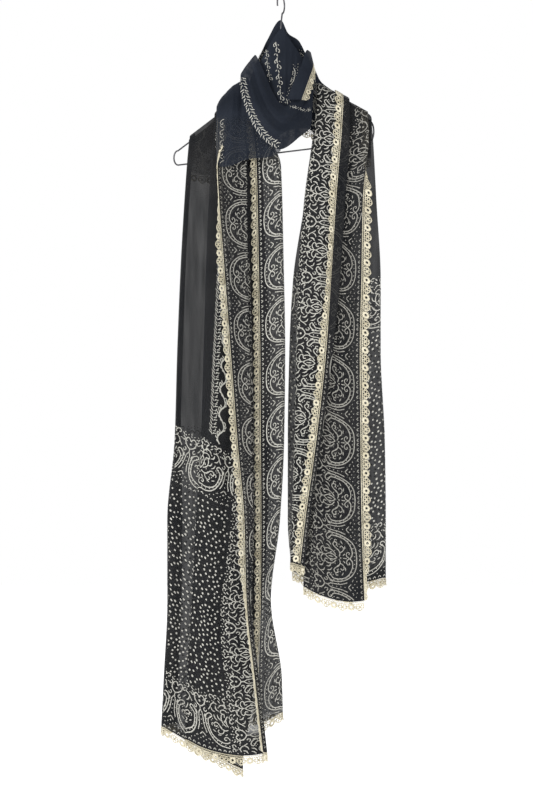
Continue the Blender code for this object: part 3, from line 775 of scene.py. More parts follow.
# The shoulder fold takes the neck tones with their painted blue light.
doubled, tree, shader, weave = georgette_cloth("shoulder_georgette", *NECK_TONES_PAINTED_BLUE_LIGHT, 0.74, 0.87)
close_layers(tree, shader, weave, (DOUBLED,))
shoulder_fold = add_sheet("shoulder_fold_cloth", shoulder_grid, doubled)
fit(shoulder_fold, "black_georgette", "left_shoulder_fold")

# Back wrap: the stretch of georgette behind the neck. Its top edge stands up round the
# hook's shank and its lower edge hangs behind the shoulders with the lace sewn on it.
BACK_STATIONS = [
    # x, top drop, top y, middle drop, middle y, lower drop, lower y
    (-176, 290, 8, 305, 11, 336, 14),
    (-150, 258, 12, 285, 15, 340, 18),
    (-122, 228, 20, 262, 25, 342, 28),
    (-95, 208, 20, 250, 25, 338, 28),
    (-70, 182, 22, 240, 25.5, 330, 30),
    (-47, 127, 7, 220, 31, 318, 33),
    (-37, 106, 10, 209, 33, 306, 34),
    (-27, 84, 13, 198, 35, 294, 35),
    (0, 45, 8, 184, 37, 262, 35),
    (14, 70, 11, 182, 36, 254, 34),
    (34, 84, 12, 184, 33, 250, 31),
    (49, 112, 9, 196, 29, 250, 28),
    (66, 140, 16, 214, 23.5, 262, 25),
    (76, 160, 19, 222, 23.5, 270, 25),
    (96, 177, 17, 235, 22.5, 290, 25),
    (128, 198, 16, 250, 22.5, 300, 25),
    (154, 226, 12, 260, 18, 306, 21),
    (174, 252, 9, 275, 11, 310, 14),
]
# how far the tails' layers stand out behind the shoulder wire, at each x
STACK_OUTSIDE = [(-180, 12.5), (-156, 13.5), (-143, 25.6), (-128, 27.4), (-98, 27.4),
                 (-90, 25.6), (-60, 25.6), (-48, 20.0), (-30, 0.0), (50, 0.0), (58, 22.6),
                 (134, 22.6), (144, 17.5), (182, 17.5)]
BACK_CREASES = [
    # x at the top, x at the bottom, half width, depth towards the back
    (-150, -158, 7, 1.4),
    (-118, -128, 7, 1.8),
    (-84, -98, 8, 1.7),
    (-52, -66, 7, 2.2),
    (-26, -38, 7, 1.6),
    (2, -8, 6, 2.4),
    (18, 22, 6, 1.8),
    (44, 52, 6, 2.0),
    (82, 92, 8, 1.6),
    (116, 130, 7, 1.9),
    (150, 156, 6, 1.2),
]


def back_wrap_grid(columns_count, rows_count):
    """Rows from the lower selvedge up to the standing top edge."""
    columns = list(zip(*BACK_STATIONS))
    x = np.linspace(columns[0][0], columns[0][-1], columns_count)
    values = [follow(columns[0], columns[c], x) for c in range(1, 7)]
    stack = read_off(STACK_OUTSIDE, x)
    grid = np.zeros((rows_count, columns_count, 3))
    share = np.linspace(1, 0, rows_count)
    for n in range(columns_count):
        level = follow((0, 0.45, 1), (values[0][n], values[2][n], values[4][n]), share)
        depth = follow((0, 0.45, 1), (values[1][n], values[3][n], values[5][n]), share)
        above = np.maximum(0.0, wire_drop(x[n]) - level) / np.hypot(1.0, wire_slope(x[n]))
        outside = np.sqrt(np.maximum(0.0, stack[n] ** 2 - above ** 2))
        relief = straight_creases(BACK_CREASES, x[n], share)
        grid[:, n, 0] = x[n]
        grid[:, n, 1] = np.maximum(depth, outside) + relief
        grid[:, n, 2] = -level
    return grid


back_grid = back_wrap_grid(170, 60)
# One sheer layer at its left end, and bunched from the left shoulder on.
BUNCHED_FROM = (-2.0, -1.9, -0.135)
# The back wrap takes the neck tones with their painted blue light.
wrapped, tree, shader, weave = georgette_cloth("wrap_georgette", *NECK_TONES_PAINTED_BLUE_LIGHT, 0.70, 0.80)
close_layers(tree, shader, weave, (BUNCHED_FROM,))
back_wrap = add_sheet("back_wrap_cloth", back_grid, wrapped)
fit(back_wrap, "black_georgette", "back_wrap")

# Print: white pigment screened on the georgette's face, which shows dimmer through the
# reverse. The charts are drawn in the cloth's own plane, in mm, and laid on each draped
# stretch: a wide border on all edges, a vine and a garland inside it, and dots at both ends.
BORDER = 108.0
BORDER_REPEAT = 110.0
VINE_REPEAT = 47.0
GARLAND_REPEAT = 26.0
SPRIG_REPEAT = 34.0
SCROLL_REPEAT = 22.0
VINE_IN = 155.0
GARLAND_IN = 171.0
VINE_FROM = 580.0
GARLAND_FROM = 590.0
UPPER_BAND = 466.0
DOTS_IN = BORDER + 4
DOTS_FOOT = 110.0
DOTS_HEIGHT = 350.0
RING_GAP = 46.0
RING_DOT_GAP = 7.4
LEAST_DOT_GAP = 5.6
LOOSE_DOT_GAP = 7.3
DOT_CELL = 8
PLAIN_ABOVE = 441.0
FACE_LIFT = 0.3
FOLD_LIFT = 0.35
face_pigment = mottled_material("print_on_face", 520.0, (0.31, 0.305, 0.275),
                                (0.67, 0.657, 0.59), 0.75, 0.9, 1400.0, 0.3, 0.0003)[0]
back_pigment = mottled_material("print_through_cloth", 520.0, (0.18, 0.176, 0.16),
                                (0.43, 0.417, 0.37), 0.8, 0.95, 1400.0, 0.3, 0.0003)[0]


class Motif:
    """Strokes and dots in mm, in a plane of a (along) and b (across)."""

    def __init__(self):
        self.points = []
        self.faces = []

    def stroke(self, points, width, leaf=False, mirror=True):
        """A line of even width, or one that swells and tapers as a leaf does."""
        line = smooth_path(points, 2.6)
        tangent = np.gradient(line, axis=0)
        tangent /= np.maximum(np.linalg.norm(tangent, axis=1), 1e-6)[:, None]
        side = np.stack([-tangent[:, 1], tangent[:, 0]], axis=1)
        share = np.linspace(0, 1, len(line))
        half = np.full(len(line), width * 0.41)
        if leaf:
            half = half * np.clip(np.sin(math.pi * (0.08 + 0.84 * share)) * 1.3, 0.25, 1.1)
        left = line + side * half[:, None]
        right = line - side * half[:, None]
        for way in ((1, -1) if mirror else (1,)):
            first = len(self.points)
            for a, b in zip(left, right):
                self.points.append((a[0] * way, a[1]))
                self.points.append((b[0] * way, b[1]))
            for n in range(len(line) - 1):
                k = first + 2 * n
                self.faces.append((k, k + 1, k + 3, k + 2))

    def dot(self, a, b, size, mirror=True):
        """A round dot, drawn with six corners."""
        for way in ((1, -1) if mirror and abs(a) > 0.01 else (1,)):
            first = len(self.points)
            for n in range(6):
                lean = math.pi / 6 + n * math.pi / 3
                self.points.append((a * way + size / 2 * math.cos(lean),
                                    b + size / 2 * math.sin(lean)))
            self.faces.append((first, first + 1, first + 2, first + 3))
            self.faces.append((first, first + 3, first + 4, first + 5))

    def curl(self, a, b, size, lean, mirror=True):
        """A small open scroll that starts at (a, b) and bends round from lean degrees."""
        line = []
        for step, reach in ((0, 0.0), (12, 0.7), (40, 1.15), (85, 1.25), (125, 0.95)):
            turn = math.radians(lean + step)
            line.append((a + size * reach * math.cos(turn), b + size * reach * math.sin(turn)))
        self.stroke(line, 1.9, mirror=mirror)

    def arrays(self):
        """The points and the faces of the whole motif."""
        return np.array(self.points), np.array(self.faces)


def medallion_border():
    """One repeat of the wide border, 110 mm along: a C medallion, then half a heart each side."""
    m = Motif()
    m.stroke([(0, 11), (18, 13), (31, 20), (40, 32), (45, 46), (46, 58), (43, 66), (36, 70),
              (32, 66), (36, 62), (40, 59), (41, 53), (40, 44), (36, 33), (28, 25), (17, 20),
              (7, 19.5), (0, 24)], 2.3)
    for a, b in ((43.4, 57), (42.8, 49), (41, 41), (37.8, 33.5), (32.8, 26.8), (26.5, 21.5),
                 (19, 17.6), (11, 15.6), (3.4, 15)):
        m.dot(a, b, 2.2)
    m.stroke([(0, 24), (3, 29), (8, 31), (12, 28), (10.5, 24.6), (7.5, 26)], 2.0)
    m.stroke([(0, 30), (0, 37)], 2.2, mirror=False)
    m.dot(0, 42, 3.2)
    m.stroke([(2.5, 45), (8, 43), (15, 46), (20, 53), (25, 56), (29.5, 52.5), (26.5, 48),
              (22.5, 50)], 2.1)
    m.stroke([(10, 43), (14, 37), (20, 36), (23, 40), (20, 42.5)], 1.9)
    m.stroke([(17, 33.5), (24, 33)], 2.0, leaf=True)
    m.stroke([(27, 37.5), (33, 41)], 2.0, leaf=True)
    m.stroke([(5, 37), (9, 33.5)], 2.0, leaf=True)
    m.stroke([(0, 49), (4.6, 56), (5.2, 64), (0, 73)], 2.1)
    m.stroke([(5, 51), (11.5, 57), (14, 66), (11.5, 73.5), (7.2, 73), (7.6, 68)], 2.1)
    m.stroke([(14, 61), (19.5, 65), (21, 71)], 2.2, leaf=True)
    m.stroke([(21.5, 59.5), (26.5, 64), (28, 70)], 2.0, leaf=True)
    m.stroke([(0, 56), (0, 66)], 2.0, leaf=True, mirror=False)
    m.stroke([(0, 74), (0, 83)], 2.0, mirror=False)
    m.stroke([(1, 78), (7, 82), (13, 80), (14.5, 75.5), (11, 75)], 1.9)
    m.stroke([(0, 83), (5.5, 89), (12.5, 90), (16, 86)], 2.0)
    m.stroke([(17, 77), (22, 81), (23, 87)], 2.0, leaf=True)
    m.stroke([(25, 75), (30, 77), (32.5, 82.5)], 2.0, leaf=True)
    m.stroke([(4, 93), (7, 99)], 2.1, leaf=True)
    m.stroke([(13, 93.5), (17.5, 98)], 2.0, leaf=True)
    m.stroke([(20, 90), (26, 91.5), (31, 88), (34, 82), (38, 76.5)], 1.9)
    m.dot(0, 95, 2.6)
    for a, b in ((26, 44), (31.5, 61), (17.5, 84.5), (28.5, 95), (24, 98), (34.5, 91)):
        m.dot(a, b, 2.1)
    m.stroke([(55, 76), (61.5, 80), (65.5, 87), (64.5, 94), (60.5, 97), (57, 94.5),
              (55, 91)], 2.3, mirror=False)
    m.stroke([(55, 76), (48.5, 80), (44.5, 87), (45.5, 94), (49.5, 97), (53, 94.5),
              (55, 91)], 2.3, mirror=False)
    m.dot(55, 85.5, 4.0, mirror=False)
    for a, b in ((55, 100.5), (49, 102.5), (61, 102.5), (44, 99.5), (66, 99.5)):
        m.dot(a, b, 2.3, mirror=False)
    m.stroke([(55, 103), (55, 107.5)], 2.1, leaf=True, mirror=False)
    m.stroke([(55, 76), (54.9, 70), (51.5, 64), (50.8, 54), (50, 43), (46, 31)], 1.9, mirror=False)
    m.stroke([(55, 76), (55.1, 70), (58.5, 64), (59.2, 54), (60, 43), (64, 31)], 1.9, mirror=False)
    for b in (60, 52, 44, 36):
        m.dot(55, b, 2.1, mirror=False)
    m.stroke([(49, 24), (55, 29), (61, 24)], 1.9, mirror=False)
    m.dot(55, 21, 3.0, mirror=False)
    for a, b in ((49.5, 17), (60.5, 17), (55, 12.5), (44, 13), (66, 13), (43.5, 21), (66.5, 21)):
        m.dot(a, b, 2.1, mirror=False)
    for a in (4, 14, 24, 34, 44, 55):
        m.stroke([(a - 2.6, 3.2), (a, 6.2), (a + 2.6, 3.2)], 1.7, mirror=a != 55)
    for a, b in ((29, 11), (36.5, 15), (41, 20)):
        m.dot(a, b, 2.0)
    for a, b, size, lean in ((4, 97, 5.4, 10), (20, 101, 4.6, 340), (30, 99, 5.6, 20),
                             (37, 92, 4.8, 300), (42, 73, 4.6, 290), (33, 48, 4.4, 60),
                             (8, 58, 3.4, 60), (9, 89, 4.4, 110)):
        m.curl(a, b, size, lean)
    for a, b, to_a, to_b in ((13, 99, 17, 104), (25, 95, 28, 90), (42, 98, 38, 103),
                             (46, 66, 48, 59), (21, 78, 24, 84), (17, 50, 14, 46)):
        m.stroke([(a, b), (to_a, to_b)], 2.0, leaf=True)
    for a, b in ((3, 106), (11, 106.5), (21, 106), (32, 106), (42, 105), (47, 90), (45, 83),
                 (49, 48), (48.5, 38), (34, 58), (12, 53), (22, 47), (36, 64), (27, 66)):
        m.dot(a, b, 2.0)
    return m.arrays()


def vine_stripe():
    """One repeat of the S vine, 47 mm along and 15 mm across."""
    m = Motif()
    m.stroke([(0, 0), (6, 4.5), (13, 5), (20, 1.5), (25, -2.5), (32, -5.2), (40, -3.6), (47, 0)],
             2.7, mirror=False)
    m.stroke([(13, 5), (18.5, 7), (22.5, 5.6), (21.5, 2.6), (18, 3.4)], 2.3, mirror=False)
    m.stroke([(34, -5), (39, -7.6), (43.6, -6.4), (43, -3.2), (39.5, -3.4)], 2.3, mirror=False)
    for a, b, way in ((3, 3.4, 1), (9, 6, 1), (27, -4.5, -1), (33, -6.2, -1), (24, 0, 1),
                      (45, -0.5, 1)):
        m.stroke([(a, b), (a + 1.5, b + 2.4 * way), (a + 4.5, b + 3.4 * way)], 2.2, leaf=True,
                 mirror=False)
    return m.arrays()


def leaf_garland():
    """One repeat of the leaf garland, 26 mm along and 17 mm across: loose leaves in clusters."""
    m = Motif()
    for a, b, reach, rise in ((0, 0.4, 4.6, 2.6), (2.6, 2.6, 2.6, 5.0), (6.4, 0.6, 3.0, 5.6),
                              (9.6, 4.2, 4.2, 2.0), (12.6, 0.5, 4.8, 3.4), (15.2, 3.6, 2.6, 4.6),
                              (19.4, 0.6, 3.0, 5.2), (22.0, 3.4, 4.0, 2.6)):
        for way in (1, -1):
            nudge = 0.0 if way > 0 else 1.8
            m.stroke([(a + nudge, b * way), (a + nudge + reach * 0.45, (b + rise * 0.55) * way),
                      (a + nudge + reach, (b + rise) * way)], 1.6, leaf=True, mirror=False)
    return m.arrays()


def broken_sprig():
    """One repeat of a broken stem with curls, 34 mm along, as it shows where cloth is bunched."""
    m = Motif()
    m.stroke([(0, 0), (5, 1.2), (11, 0.4)], 2.1, mirror=False)
    m.stroke([(13, -0.6), (18, 1.4), (22, 0.4)], 1.9, mirror=False)
    m.stroke([(26, 0.6), (32, -1.0)], 2.1, leaf=True, mirror=False)
    m.stroke([(4, 2.4), (7, 5.8), (11, 5.4), (10.4, 3.2)], 1.7, mirror=False)
    m.stroke([(16, -2.2), (19.4, -5.6), (23.6, -4.6), (22.4, -2.2)], 1.7, mirror=False)
    m.stroke([(25, 3.0), (28.6, 5.8)], 1.9, leaf=True, mirror=False)
    m.stroke([(7, -2.6), (9.6, -5.0)], 1.9, leaf=True, mirror=False)
    return m.arrays()


def faint_scroll():
    """One repeat of the open scrolls that show through one layer, 22 mm along."""
    m = Motif()
    m.stroke([(1, -4), (3.4, 1.2), (8.4, 4.2), (12.4, 2.0), (11.4, -1.2), (8.4, -0.8)], 1.7,
             mirror=False)
    m.stroke([(14, 4.2), (17.4, 1.6), (20, -2.8)], 1.7, leaf=True, mirror=False)
    m.dot(15.4, -3.8, 1.9, mirror=False)
    return m.arrays()


def tied_dots(width, length, seed):
    """Tie-dye style dots: rings with a centre, and loose dots between them."""
    maker = random.Random(seed)
    dots = []
    for j in range(int(length / RING_GAP) + 1):
        for i in range(int(width / RING_GAP) + 1):
            if maker.random() < 0.28:
                continue
            cx = (i + 0.5 * (j % 2)) * RING_GAP + maker.uniform(-7, 7)
            cy = j * RING_GAP + maker.uniform(-7, 7)
            radius = maker.uniform(9.5, 16.5)
            count = int(2 * math.pi * radius / RING_DOT_GAP)
            for n in range(count):
                lean = 2 * math.pi * n / count + 0.3
                dots.append((cx + radius * math.cos(lean), cy + radius * math.sin(lean)))
            dots.append((cx, cy))
    cells = {}
    kept = []

    def keep(x, y, gap):
        """Keep a dot unless another one lies nearer than the gap."""
        i, j = int(x // DOT_CELL), int(y // DOT_CELL)
        for di in (-1, 0, 1):
            for dj in (-1, 0, 1):
                for px, py in cells.get((i + di, j + dj), ()):
                    if (px - x) ** 2 + (py - y) ** 2 < gap * gap:
                        return
        cells.setdefault((i, j), []).append((x, y))
        kept.append((x, y))

    for x, y in dots:
        if 0 <= x <= width and 0 <= y <= length:
            keep(x, y, LEAST_DOT_GAP)
    for _ in range(int(width * length / 14)):
        x, y = maker.uniform(0, width), maker.uniform(0, length)
        keep(x, y, LOOSE_DOT_GAP)
    m = Motif()
    for x, y in kept:
        m.dot(x, y, maker.uniform(3.3, 4.5), mirror=False)
    return m.arrays()


class Cloth:
    """A draped stretch unrolled: u across from one selvedge and v up from the hem, in mm.

    Share is how much of the width it takes from that selvedge."""

    def __init__(self, grid, from_far=False, share=0.5, gap_u=1.5, gap_v=5.0):
        lines = grid[:, ::-1] if from_far else grid
        across = np.zeros(lines.shape[:2])
        across[:, 1:] = np.cumsum(np.linalg.norm(np.diff(lines, axis=1), axis=2), axis=1)
        up = np.zeros(lines.shape[:2])
        up[1:] = np.cumsum(np.linalg.norm(np.diff(lines, axis=0), axis=2), axis=0)
        us = np.arange(0, across[:, -1].max() * share + gap_u, gap_u)
        points = np.full((len(lines), len(us), 3), np.nan)
        heights = np.full((len(lines), len(us)), np.nan)
        for j in range(len(lines)):
            ok = us <= across[j, -1] * share + gap_u
            for c in range(3):
                points[j, ok, c] = np.interp(us[ok], across[j], lines[j, :, c])
            heights[j, ok] = np.interp(us[ok], across[j], up[j])
        vs = np.arange(0, np.nanmax(heights), gap_v)
        self.table = np.full((len(us), len(vs), 3), np.nan)
        for i in range(len(us)):
            ok = ~np.isnan(heights[:, i])
            if ok.sum() > 3:
                rising = np.maximum.accumulate(heights[ok, i] + np.arange(ok.sum()) * 1e-6)
                for c in range(3):
                    self.table[i, :, c] = np.interp(vs, rising, points[ok, i, c],
                                                    left=np.nan, right=np.nan)
        normal = np.cross(np.gradient(self.table, axis=0), np.gradient(self.table, axis=1))
        normal /= np.linalg.norm(normal, axis=2)[:, :, None]
        self.normal = normal if from_far else -normal
        self.gap_u, self.gap_v = gap_u, gap_v

    def at(self, uv, lift):
        """Points on the cloth, moved out from its face by lift."""
        i = uv[:, 0] / self.gap_u
        j = uv[:, 1] / self.gap_v
        outside = (i < 0) | (j < 0) | (i > len(self.table) - 1) | (j > self.table.shape[1] - 1)
        i = np.clip(i, 0, len(self.table) - 1.001)
        j = np.clip(j, 0, self.table.shape[1] - 1.001)
        i0, j0 = i.astype(int), j.astype(int)
        s, t = (i - i0)[:, None], (j - j0)[:, None]
        found = []
        for table in (self.table, self.normal):
            found.append(table[i0, j0] * (1 - s) * (1 - t) + table[i0 + 1, j0] * s * (1 - t)
                         + table[i0, j0 + 1] * (1 - s) * t + table[i0 + 1, j0 + 1] * s * t)
        result = found[0] + found[1] * lift
        result[outside] = np.nan
        return result


class FrontCloth:
    """A draped stretch seen from the front: u is x and v is the drop, in mm."""

    def __init__(self, grid):
        self.right = np.diff(grid, axis=1)[:-1]
        self.up = np.diff(grid, axis=0)[:, :-1]
        self.corner = grid[:-1, :-1]
        normal = np.cross(self.right, self.up)
        normal /= np.maximum(np.linalg.norm(normal, axis=2), 1e-9)[:, :, None]
        self.normal = normal * np.where(normal[:, :, 1] > 0, -1, 1)[:, :, None]

    def at(self, uv, lift):
        """Points on the cloth, moved out from its face by lift."""
        corner = self.corner.reshape(-1, 3)
        right, up = self.right.reshape(-1, 3), self.up.reshape(-1, 3)
        normal = self.normal.reshape(-1, 3)
        result = np.zeros((len(uv), 3))
        for n, (x, drop) in enumerate(uv):
            gap_x, gap_z = x - corner[:, 0], -drop - corner[:, 2]
            k = int(np.argmin(gap_x ** 2 + gap_z ** 2))
            if gap_x[k] ** 2 + gap_z[k] ** 2 > 30:
                result[n] = np.nan
                continue
            cross = right[k, 0] * up[k, 2] - right[k, 2] * up[k, 0]
            a = (gap_x[k] * up[k, 2] - gap_z[k] * up[k, 0]) / cross
            b = (right[k, 0] * gap_z[k] - right[k, 2] * gap_x[k]) / cross
            a, b = np.clip(a, -2, 2), np.clip(b, -2, 2)
            result[n] = corner[k] + right[k] * a + up[k] * b + normal[k] * lift
        return result


class Print:
    """Collects motif copies in a cloth's own plane and lays them on it as one mesh."""

    def __init__(self):
        self.points = []
        self.faces = []
        self.count = 0

    def add(self, points, faces, keep=None):
        """Put in a motif's points and faces; keep tells which of the points may stay."""
        if keep is not None:
            faces = faces[keep(points)[faces].all(axis=1)]
        self.points.append(points)
        self.faces.append(faces + self.count)
        self.count += len(points)

    def lay(self, cloth, lift):
        """The collected motifs' points and faces on the cloth, without what lies off it."""
        points = cloth.at(np.concatenate(self.points), lift)
        faces = np.concatenate(self.faces)
        faces = faces[~np.isnan(points[faces]).any(axis=(1, 2))]
        used, faces = np.unique(faces, return_inverse=True)
        return points[used], faces.reshape(-1, 4)


def join_prints(name, laid, material):
    """Several laid prints made into one piece."""
    points, faces, count = [], [], 0
    for some_points, some_faces in laid:
        points.append(some_points)
        faces.append(some_faces + count)
        count += len(some_points)
    return add_mesh(name, np.concatenate(points), np.concatenate(faces), material)


border_chart = medallion_border()
vine_chart = vine_stripe()
garland_chart = leaf_garland()
sprig_chart = broken_sprig()
scroll_chart = faint_scroll()


def long_border(sheet_print, repeat, first, low, high, bare=0.0):
    """The wide border along a selvedge, with medallion centres at first, first + repeat...

    Bare is the width of the strip by the selvedge that stays plain in the upper half."""
    points, faces = border_chart
    scale = repeat / BORDER_REPEAT
    k = math.floor((low - first) / repeat) - 1
    while first + (k - 1) * repeat < high:
        moved = np.stack([points[:, 1], first + k * repeat + points[:, 0] * scale], axis=1)
        sheet_print.add(moved, faces, lambda p: (p[:, 1] > low) & (p[:, 1] < high)
                        & ((p[:, 0] > bare) | (p[:, 1] < PLAIN_ABOVE)))
        k += 1


def cross_border(sheet_print, foot, first, half):
    """The wide border across the cloth, from the long border in to the middle."""
    points, faces = border_chart
    k = -1
    while first + (k - 1) * BORDER_REPEAT < half:
        moved = np.stack([first + k * BORDER_REPEAT + points[:, 0], foot + points[:, 1]], axis=1)
        sheet_print.add(moved, faces, lambda p: (p[:, 0] > BORDER) & (p[:, 0] < half))
        k += 1


def long_stripe(sheet_print, chart, length, centre, low, high):
    """A narrow stripe along the cloth, from one height to the other."""
    points, faces = chart
    for k in range(int((high - low) / length)):
        moved = np.stack([centre + points[:, 1], low + k * length + points[:, 0]], axis=1)
        sheet_print.add(moved, faces)


def end_of_stole(grid, from_far, repeat, first, hem_first, cross_first, seed, bare=0.0,
                 under=None):
    """The whole print of one end, from one selvedge to the middle.

    Under gives heights and how much of the edge is turned under there, out of sight."""
    cloth = Cloth(grid, from_far)
    top = cloth.table.shape[1] * cloth.gap_v
    sheet_print = Print()
    long_border(sheet_print, repeat, first, 2, top, bare)
    widest = len(cloth.table) * cloth.gap_u
    cross_border(sheet_print, 0.0, hem_first, widest)
    cross_border(sheet_print, UPPER_BAND, cross_first, widest)
    dots, faces = tied_dots(widest - DOTS_IN, DOTS_HEIGHT, seed)
    sheet_print.add(dots + (DOTS_IN, DOTS_FOOT), faces)
    if under is None:
        long_stripe(sheet_print, vine_chart, VINE_REPEAT, VINE_IN, VINE_FROM, top)
        long_stripe(sheet_print, garland_chart, GARLAND_REPEAT, GARLAND_IN, GARLAND_FROM, top)
    else:
        for points in sheet_print.points:
            points[:, 0] -= np.interp(points[:, 1], *under)
    return sheet_print, cloth


# each end has two halves, from the front selvedge and from the rear one: the border's repeat,
# and how far up or in its first motif is on the long edge, on the hem and on the upper band
ENDS = {
    "left": (left_grid, [
        {"from_far": False, "repeat": 101.0, "first": 89.0, "hem_first": 108.0,
         "cross_first": 73.0, "seed": 3},
        {"from_far": True, "repeat": 100.0, "first": 48.0, "hem_first": 120.0,
         "cross_first": 90.0, "seed": 5},
    ]),
    "right": (right_grid, [
        {"from_far": False, "repeat": 107.0, "first": 60.5, "hem_first": 96.0,
         "cross_first": 70.0, "seed": 7, "bare": 20.0},
        {"from_far": True, "repeat": 109.6, "first": 81.5, "hem_first": 130.0,
         "cross_first": 100.0, "seed": 9, "under": ((674, 760, 912, 1000), (0, 14, 76, 82))},
    ]),
}
prints = []
for side, (grid, halves) in ENDS.items():
    fronts, backs = [], []
    for half in halves:
        sheet_print, cloth = end_of_stole(grid, **half)
        fronts.append(sheet_print.lay(cloth, FACE_LIFT))
        backs.append(sheet_print.lay(cloth, -FACE_LIFT))
    prints.append(join_prints(side + "_tail_print", fronts, face_pigment))
    prints.append(join_prints(side + "_tail_print_through", backs, back_pigment))

# Print round the neck: the wide border above the back wrap's lace, the stretches of border
# and vine that show in the standing peak, and the scrolls that show through the shoulder
# fold, laid on its face in the dimmer pigment, which is partly painted shade for the cowl's
# shadow. It is the same pigment, on cloth that is turned or bunched here.
back_sheet = Cloth(back_grid.transpose(1, 0, 2), share=1.0)
back_print = Print()
long_border(back_print, 109.0, 40.0, 2, 400.0)
laid_face = back_print.lay(back_sheet, FACE_LIFT)
laid_back = back_print.lay(back_sheet, -FACE_LIFT)


def along_path(chart, length, path, scale=1.0, shift=0.0):
    """Copies of a motif along a path of (x, drop) points in the front view."""
    line = smooth_path(path, 1.5)
    lengths = np.concatenate([[0], np.cumsum(np.linalg.norm(np.diff(line, axis=0), axis=1))])
    tangent = np.gradient(line, axis=0)
    tangent /= np.linalg.norm(tangent, axis=1)[:, None]
    points, faces = chart
    strip = Print()
    for k in range(int(lengths[-1] / (length * scale)) + 1):
        a = k * length * scale + points[:, 0] * scale
        b = points[:, 1] * scale + shift
        x = np.interp(a, lengths, line[:, 0]) - b * np.interp(a, lengths, tangent[:, 1])
        y = np.interp(a, lengths, line[:, 1]) + b * np.interp(a, lengths, tangent[:, 0])
        strip.add(np.stack([x, y], axis=1), faces,
                  lambda p, a=a: (a >= 0) & (a <= lengths[-1]))
    return strip


def part_of_border(low, high):
    """The border's strokes between two depths, turned to run along a path."""
    points, faces = border_chart
    inside = (points[:, 1] > low) & (points[:, 1] < high)
    faces = faces[inside[faces].all(axis=1)]
    used, faces = np.unique(faces, return_inverse=True)
    kept = points[used] - (-BORDER_REPEAT / 2, (low + high) / 2)
    return kept, faces.reshape(-1, 4)


peak = FrontCloth(back_grid)
peak_strips = [
    along_path(part_of_border(74, 108), BORDER_REPEAT, [(-33, 98), (-38, 122), (-42, 140)],
               0.5),
    along_path(part_of_border(10, 24), BORDER_REPEAT, [(35, 93), (40, 108), (45, 124)], 0.6),
]
laid_peak = [strip.lay(peak, FOLD_LIFT) for strip in peak_strips]
back_face = join_prints("back_wrap_print", [laid_face] + laid_peak, face_pigment)
back_through = join_prints("back_wrap_print_through", [laid_back], back_pigment)
inner_front = FrontCloth(inner_grid)
inner_strips = [
    along_path(sprig_chart, SPRIG_REPEAT, [(-28, 102), (-25, 138), (-19, 168)], 0.7),
    along_path(sprig_chart, SPRIG_REPEAT, [(-9, 88), (-7, 120), (-3, 165), (1, 212)], 0.95),
    along_path(part_of_border(3, 22), BORDER_REPEAT,
               [(29, 126), (27, 150), (20, 182), (12, 214)], 0.6),
]
inner_print = join_prints("neck_inner_fold_print",
                          [strip.lay(inner_front, FOLD_LIFT) for strip in inner_strips],
                          face_pigment)
shoulder_front = FrontCloth(shoulder_grid)
# The scrolls are laid on the fold's face in the dimmer print-through pigment: print seen through
# the fold, and painted shade for the cowl's shadow.
shoulder_strip = along_path(scroll_chart, SCROLL_REPEAT, [(-111, 242), (-112, 280), (-112, 328)],
                            0.9)
shoulder_print_painted_shade = join_prints("shoulder_fold_print_painted_shade", [shoulder_strip.lay(shoulder_front, FOLD_LIFT)],
                             back_pigment)
prints += [back_face, back_through, inner_print, shoulder_print_painted_shade]

# Print on the cowl: the leaf garland that runs down its left edge to the lowest point, and
# a few strokes of the border where the cloth turns under the neck fold.
cowl_front = FrontCloth(cowl_grid)
cowl_strips = [
    along_path(garland_chart, GARLAND_REPEAT, [(-74, 162), (-72, 178), (-67, 202), (-58, 230),
                                               (-44, 259), (-27, 281), (-12, 292), (-3, 297)]),
    along_path(part_of_border(96, 108), BORDER_REPEAT,
               [(10, 222), (22, 221), (34, 224), (46, 227), (56, 222)], 0.55),
]
cowl_print = join_prints("cowl_print", [strip.lay(cowl_front, FOLD_LIFT) for strip in cowl_strips],
                         face_pigment)
prints.append(cowl_print)
for item in prints:
    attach(item, "root")

# Crochet lace: cotton in a 33 mm repeat, sewn along every edge. It has a heading of two
# chains with a zigzag, a round motif with an open eye, and a pointed flower motif.
LACE_DEPTH = 18.5
LACE_REPEAT = 33.0


def cord_loop(centre, radius_s, radius_d, section, thick, turns, sides, lobes=0, lobe=0.0):
    """A closed flattened cord round a centre in the lace's own plane (s, d, t)."""
    points = []
    for n in range(turns):
        lean = 2 * math.pi * n / turns
        fat = section + lobe * math.cos(lobes * lean)
        for m in range(sides):
            turn = 2 * math.pi * m / sides
            out = fat * math.cos(turn)
            points.append((centre[0] + (radius_s + out) * math.cos(lean),
                           centre[1] + (radius_d + out) * math.sin(lean),
                           thick * math.sin(turn)))
    faces = [(n * sides + m, (n + 1) % turns * sides + m,
              (n + 1) % turns * sides + (m + 1) % sides, n * sides + (m + 1) % sides)
             for n in range(turns) for m in range(sides)]
    return points, faces


def cord_line(line, section, sides, thick=None):
    """An open cord along a line in the lace's plane."""
    line = np.asarray(line, float)
    tangent = np.gradient(line, axis=0)
    tangent /= np.linalg.norm(tangent, axis=1)[:, None]
    points = []
    for (s, d), (ts, td) in zip(line, tangent):
        for m in range(sides):
            turn = 2 * math.pi * m / sides
            out = section * math.cos(turn)
            points.append((s - td * out, d + ts * out, (thick or section) * math.sin(turn)))
    faces = [(n * sides + m, (n + 1) * sides + m, (n + 1) * sides + (m + 1) % sides,
              n * sides + (m + 1) % sides) for n in range(len(line) - 1) for m in range(sides)]
    return points, faces


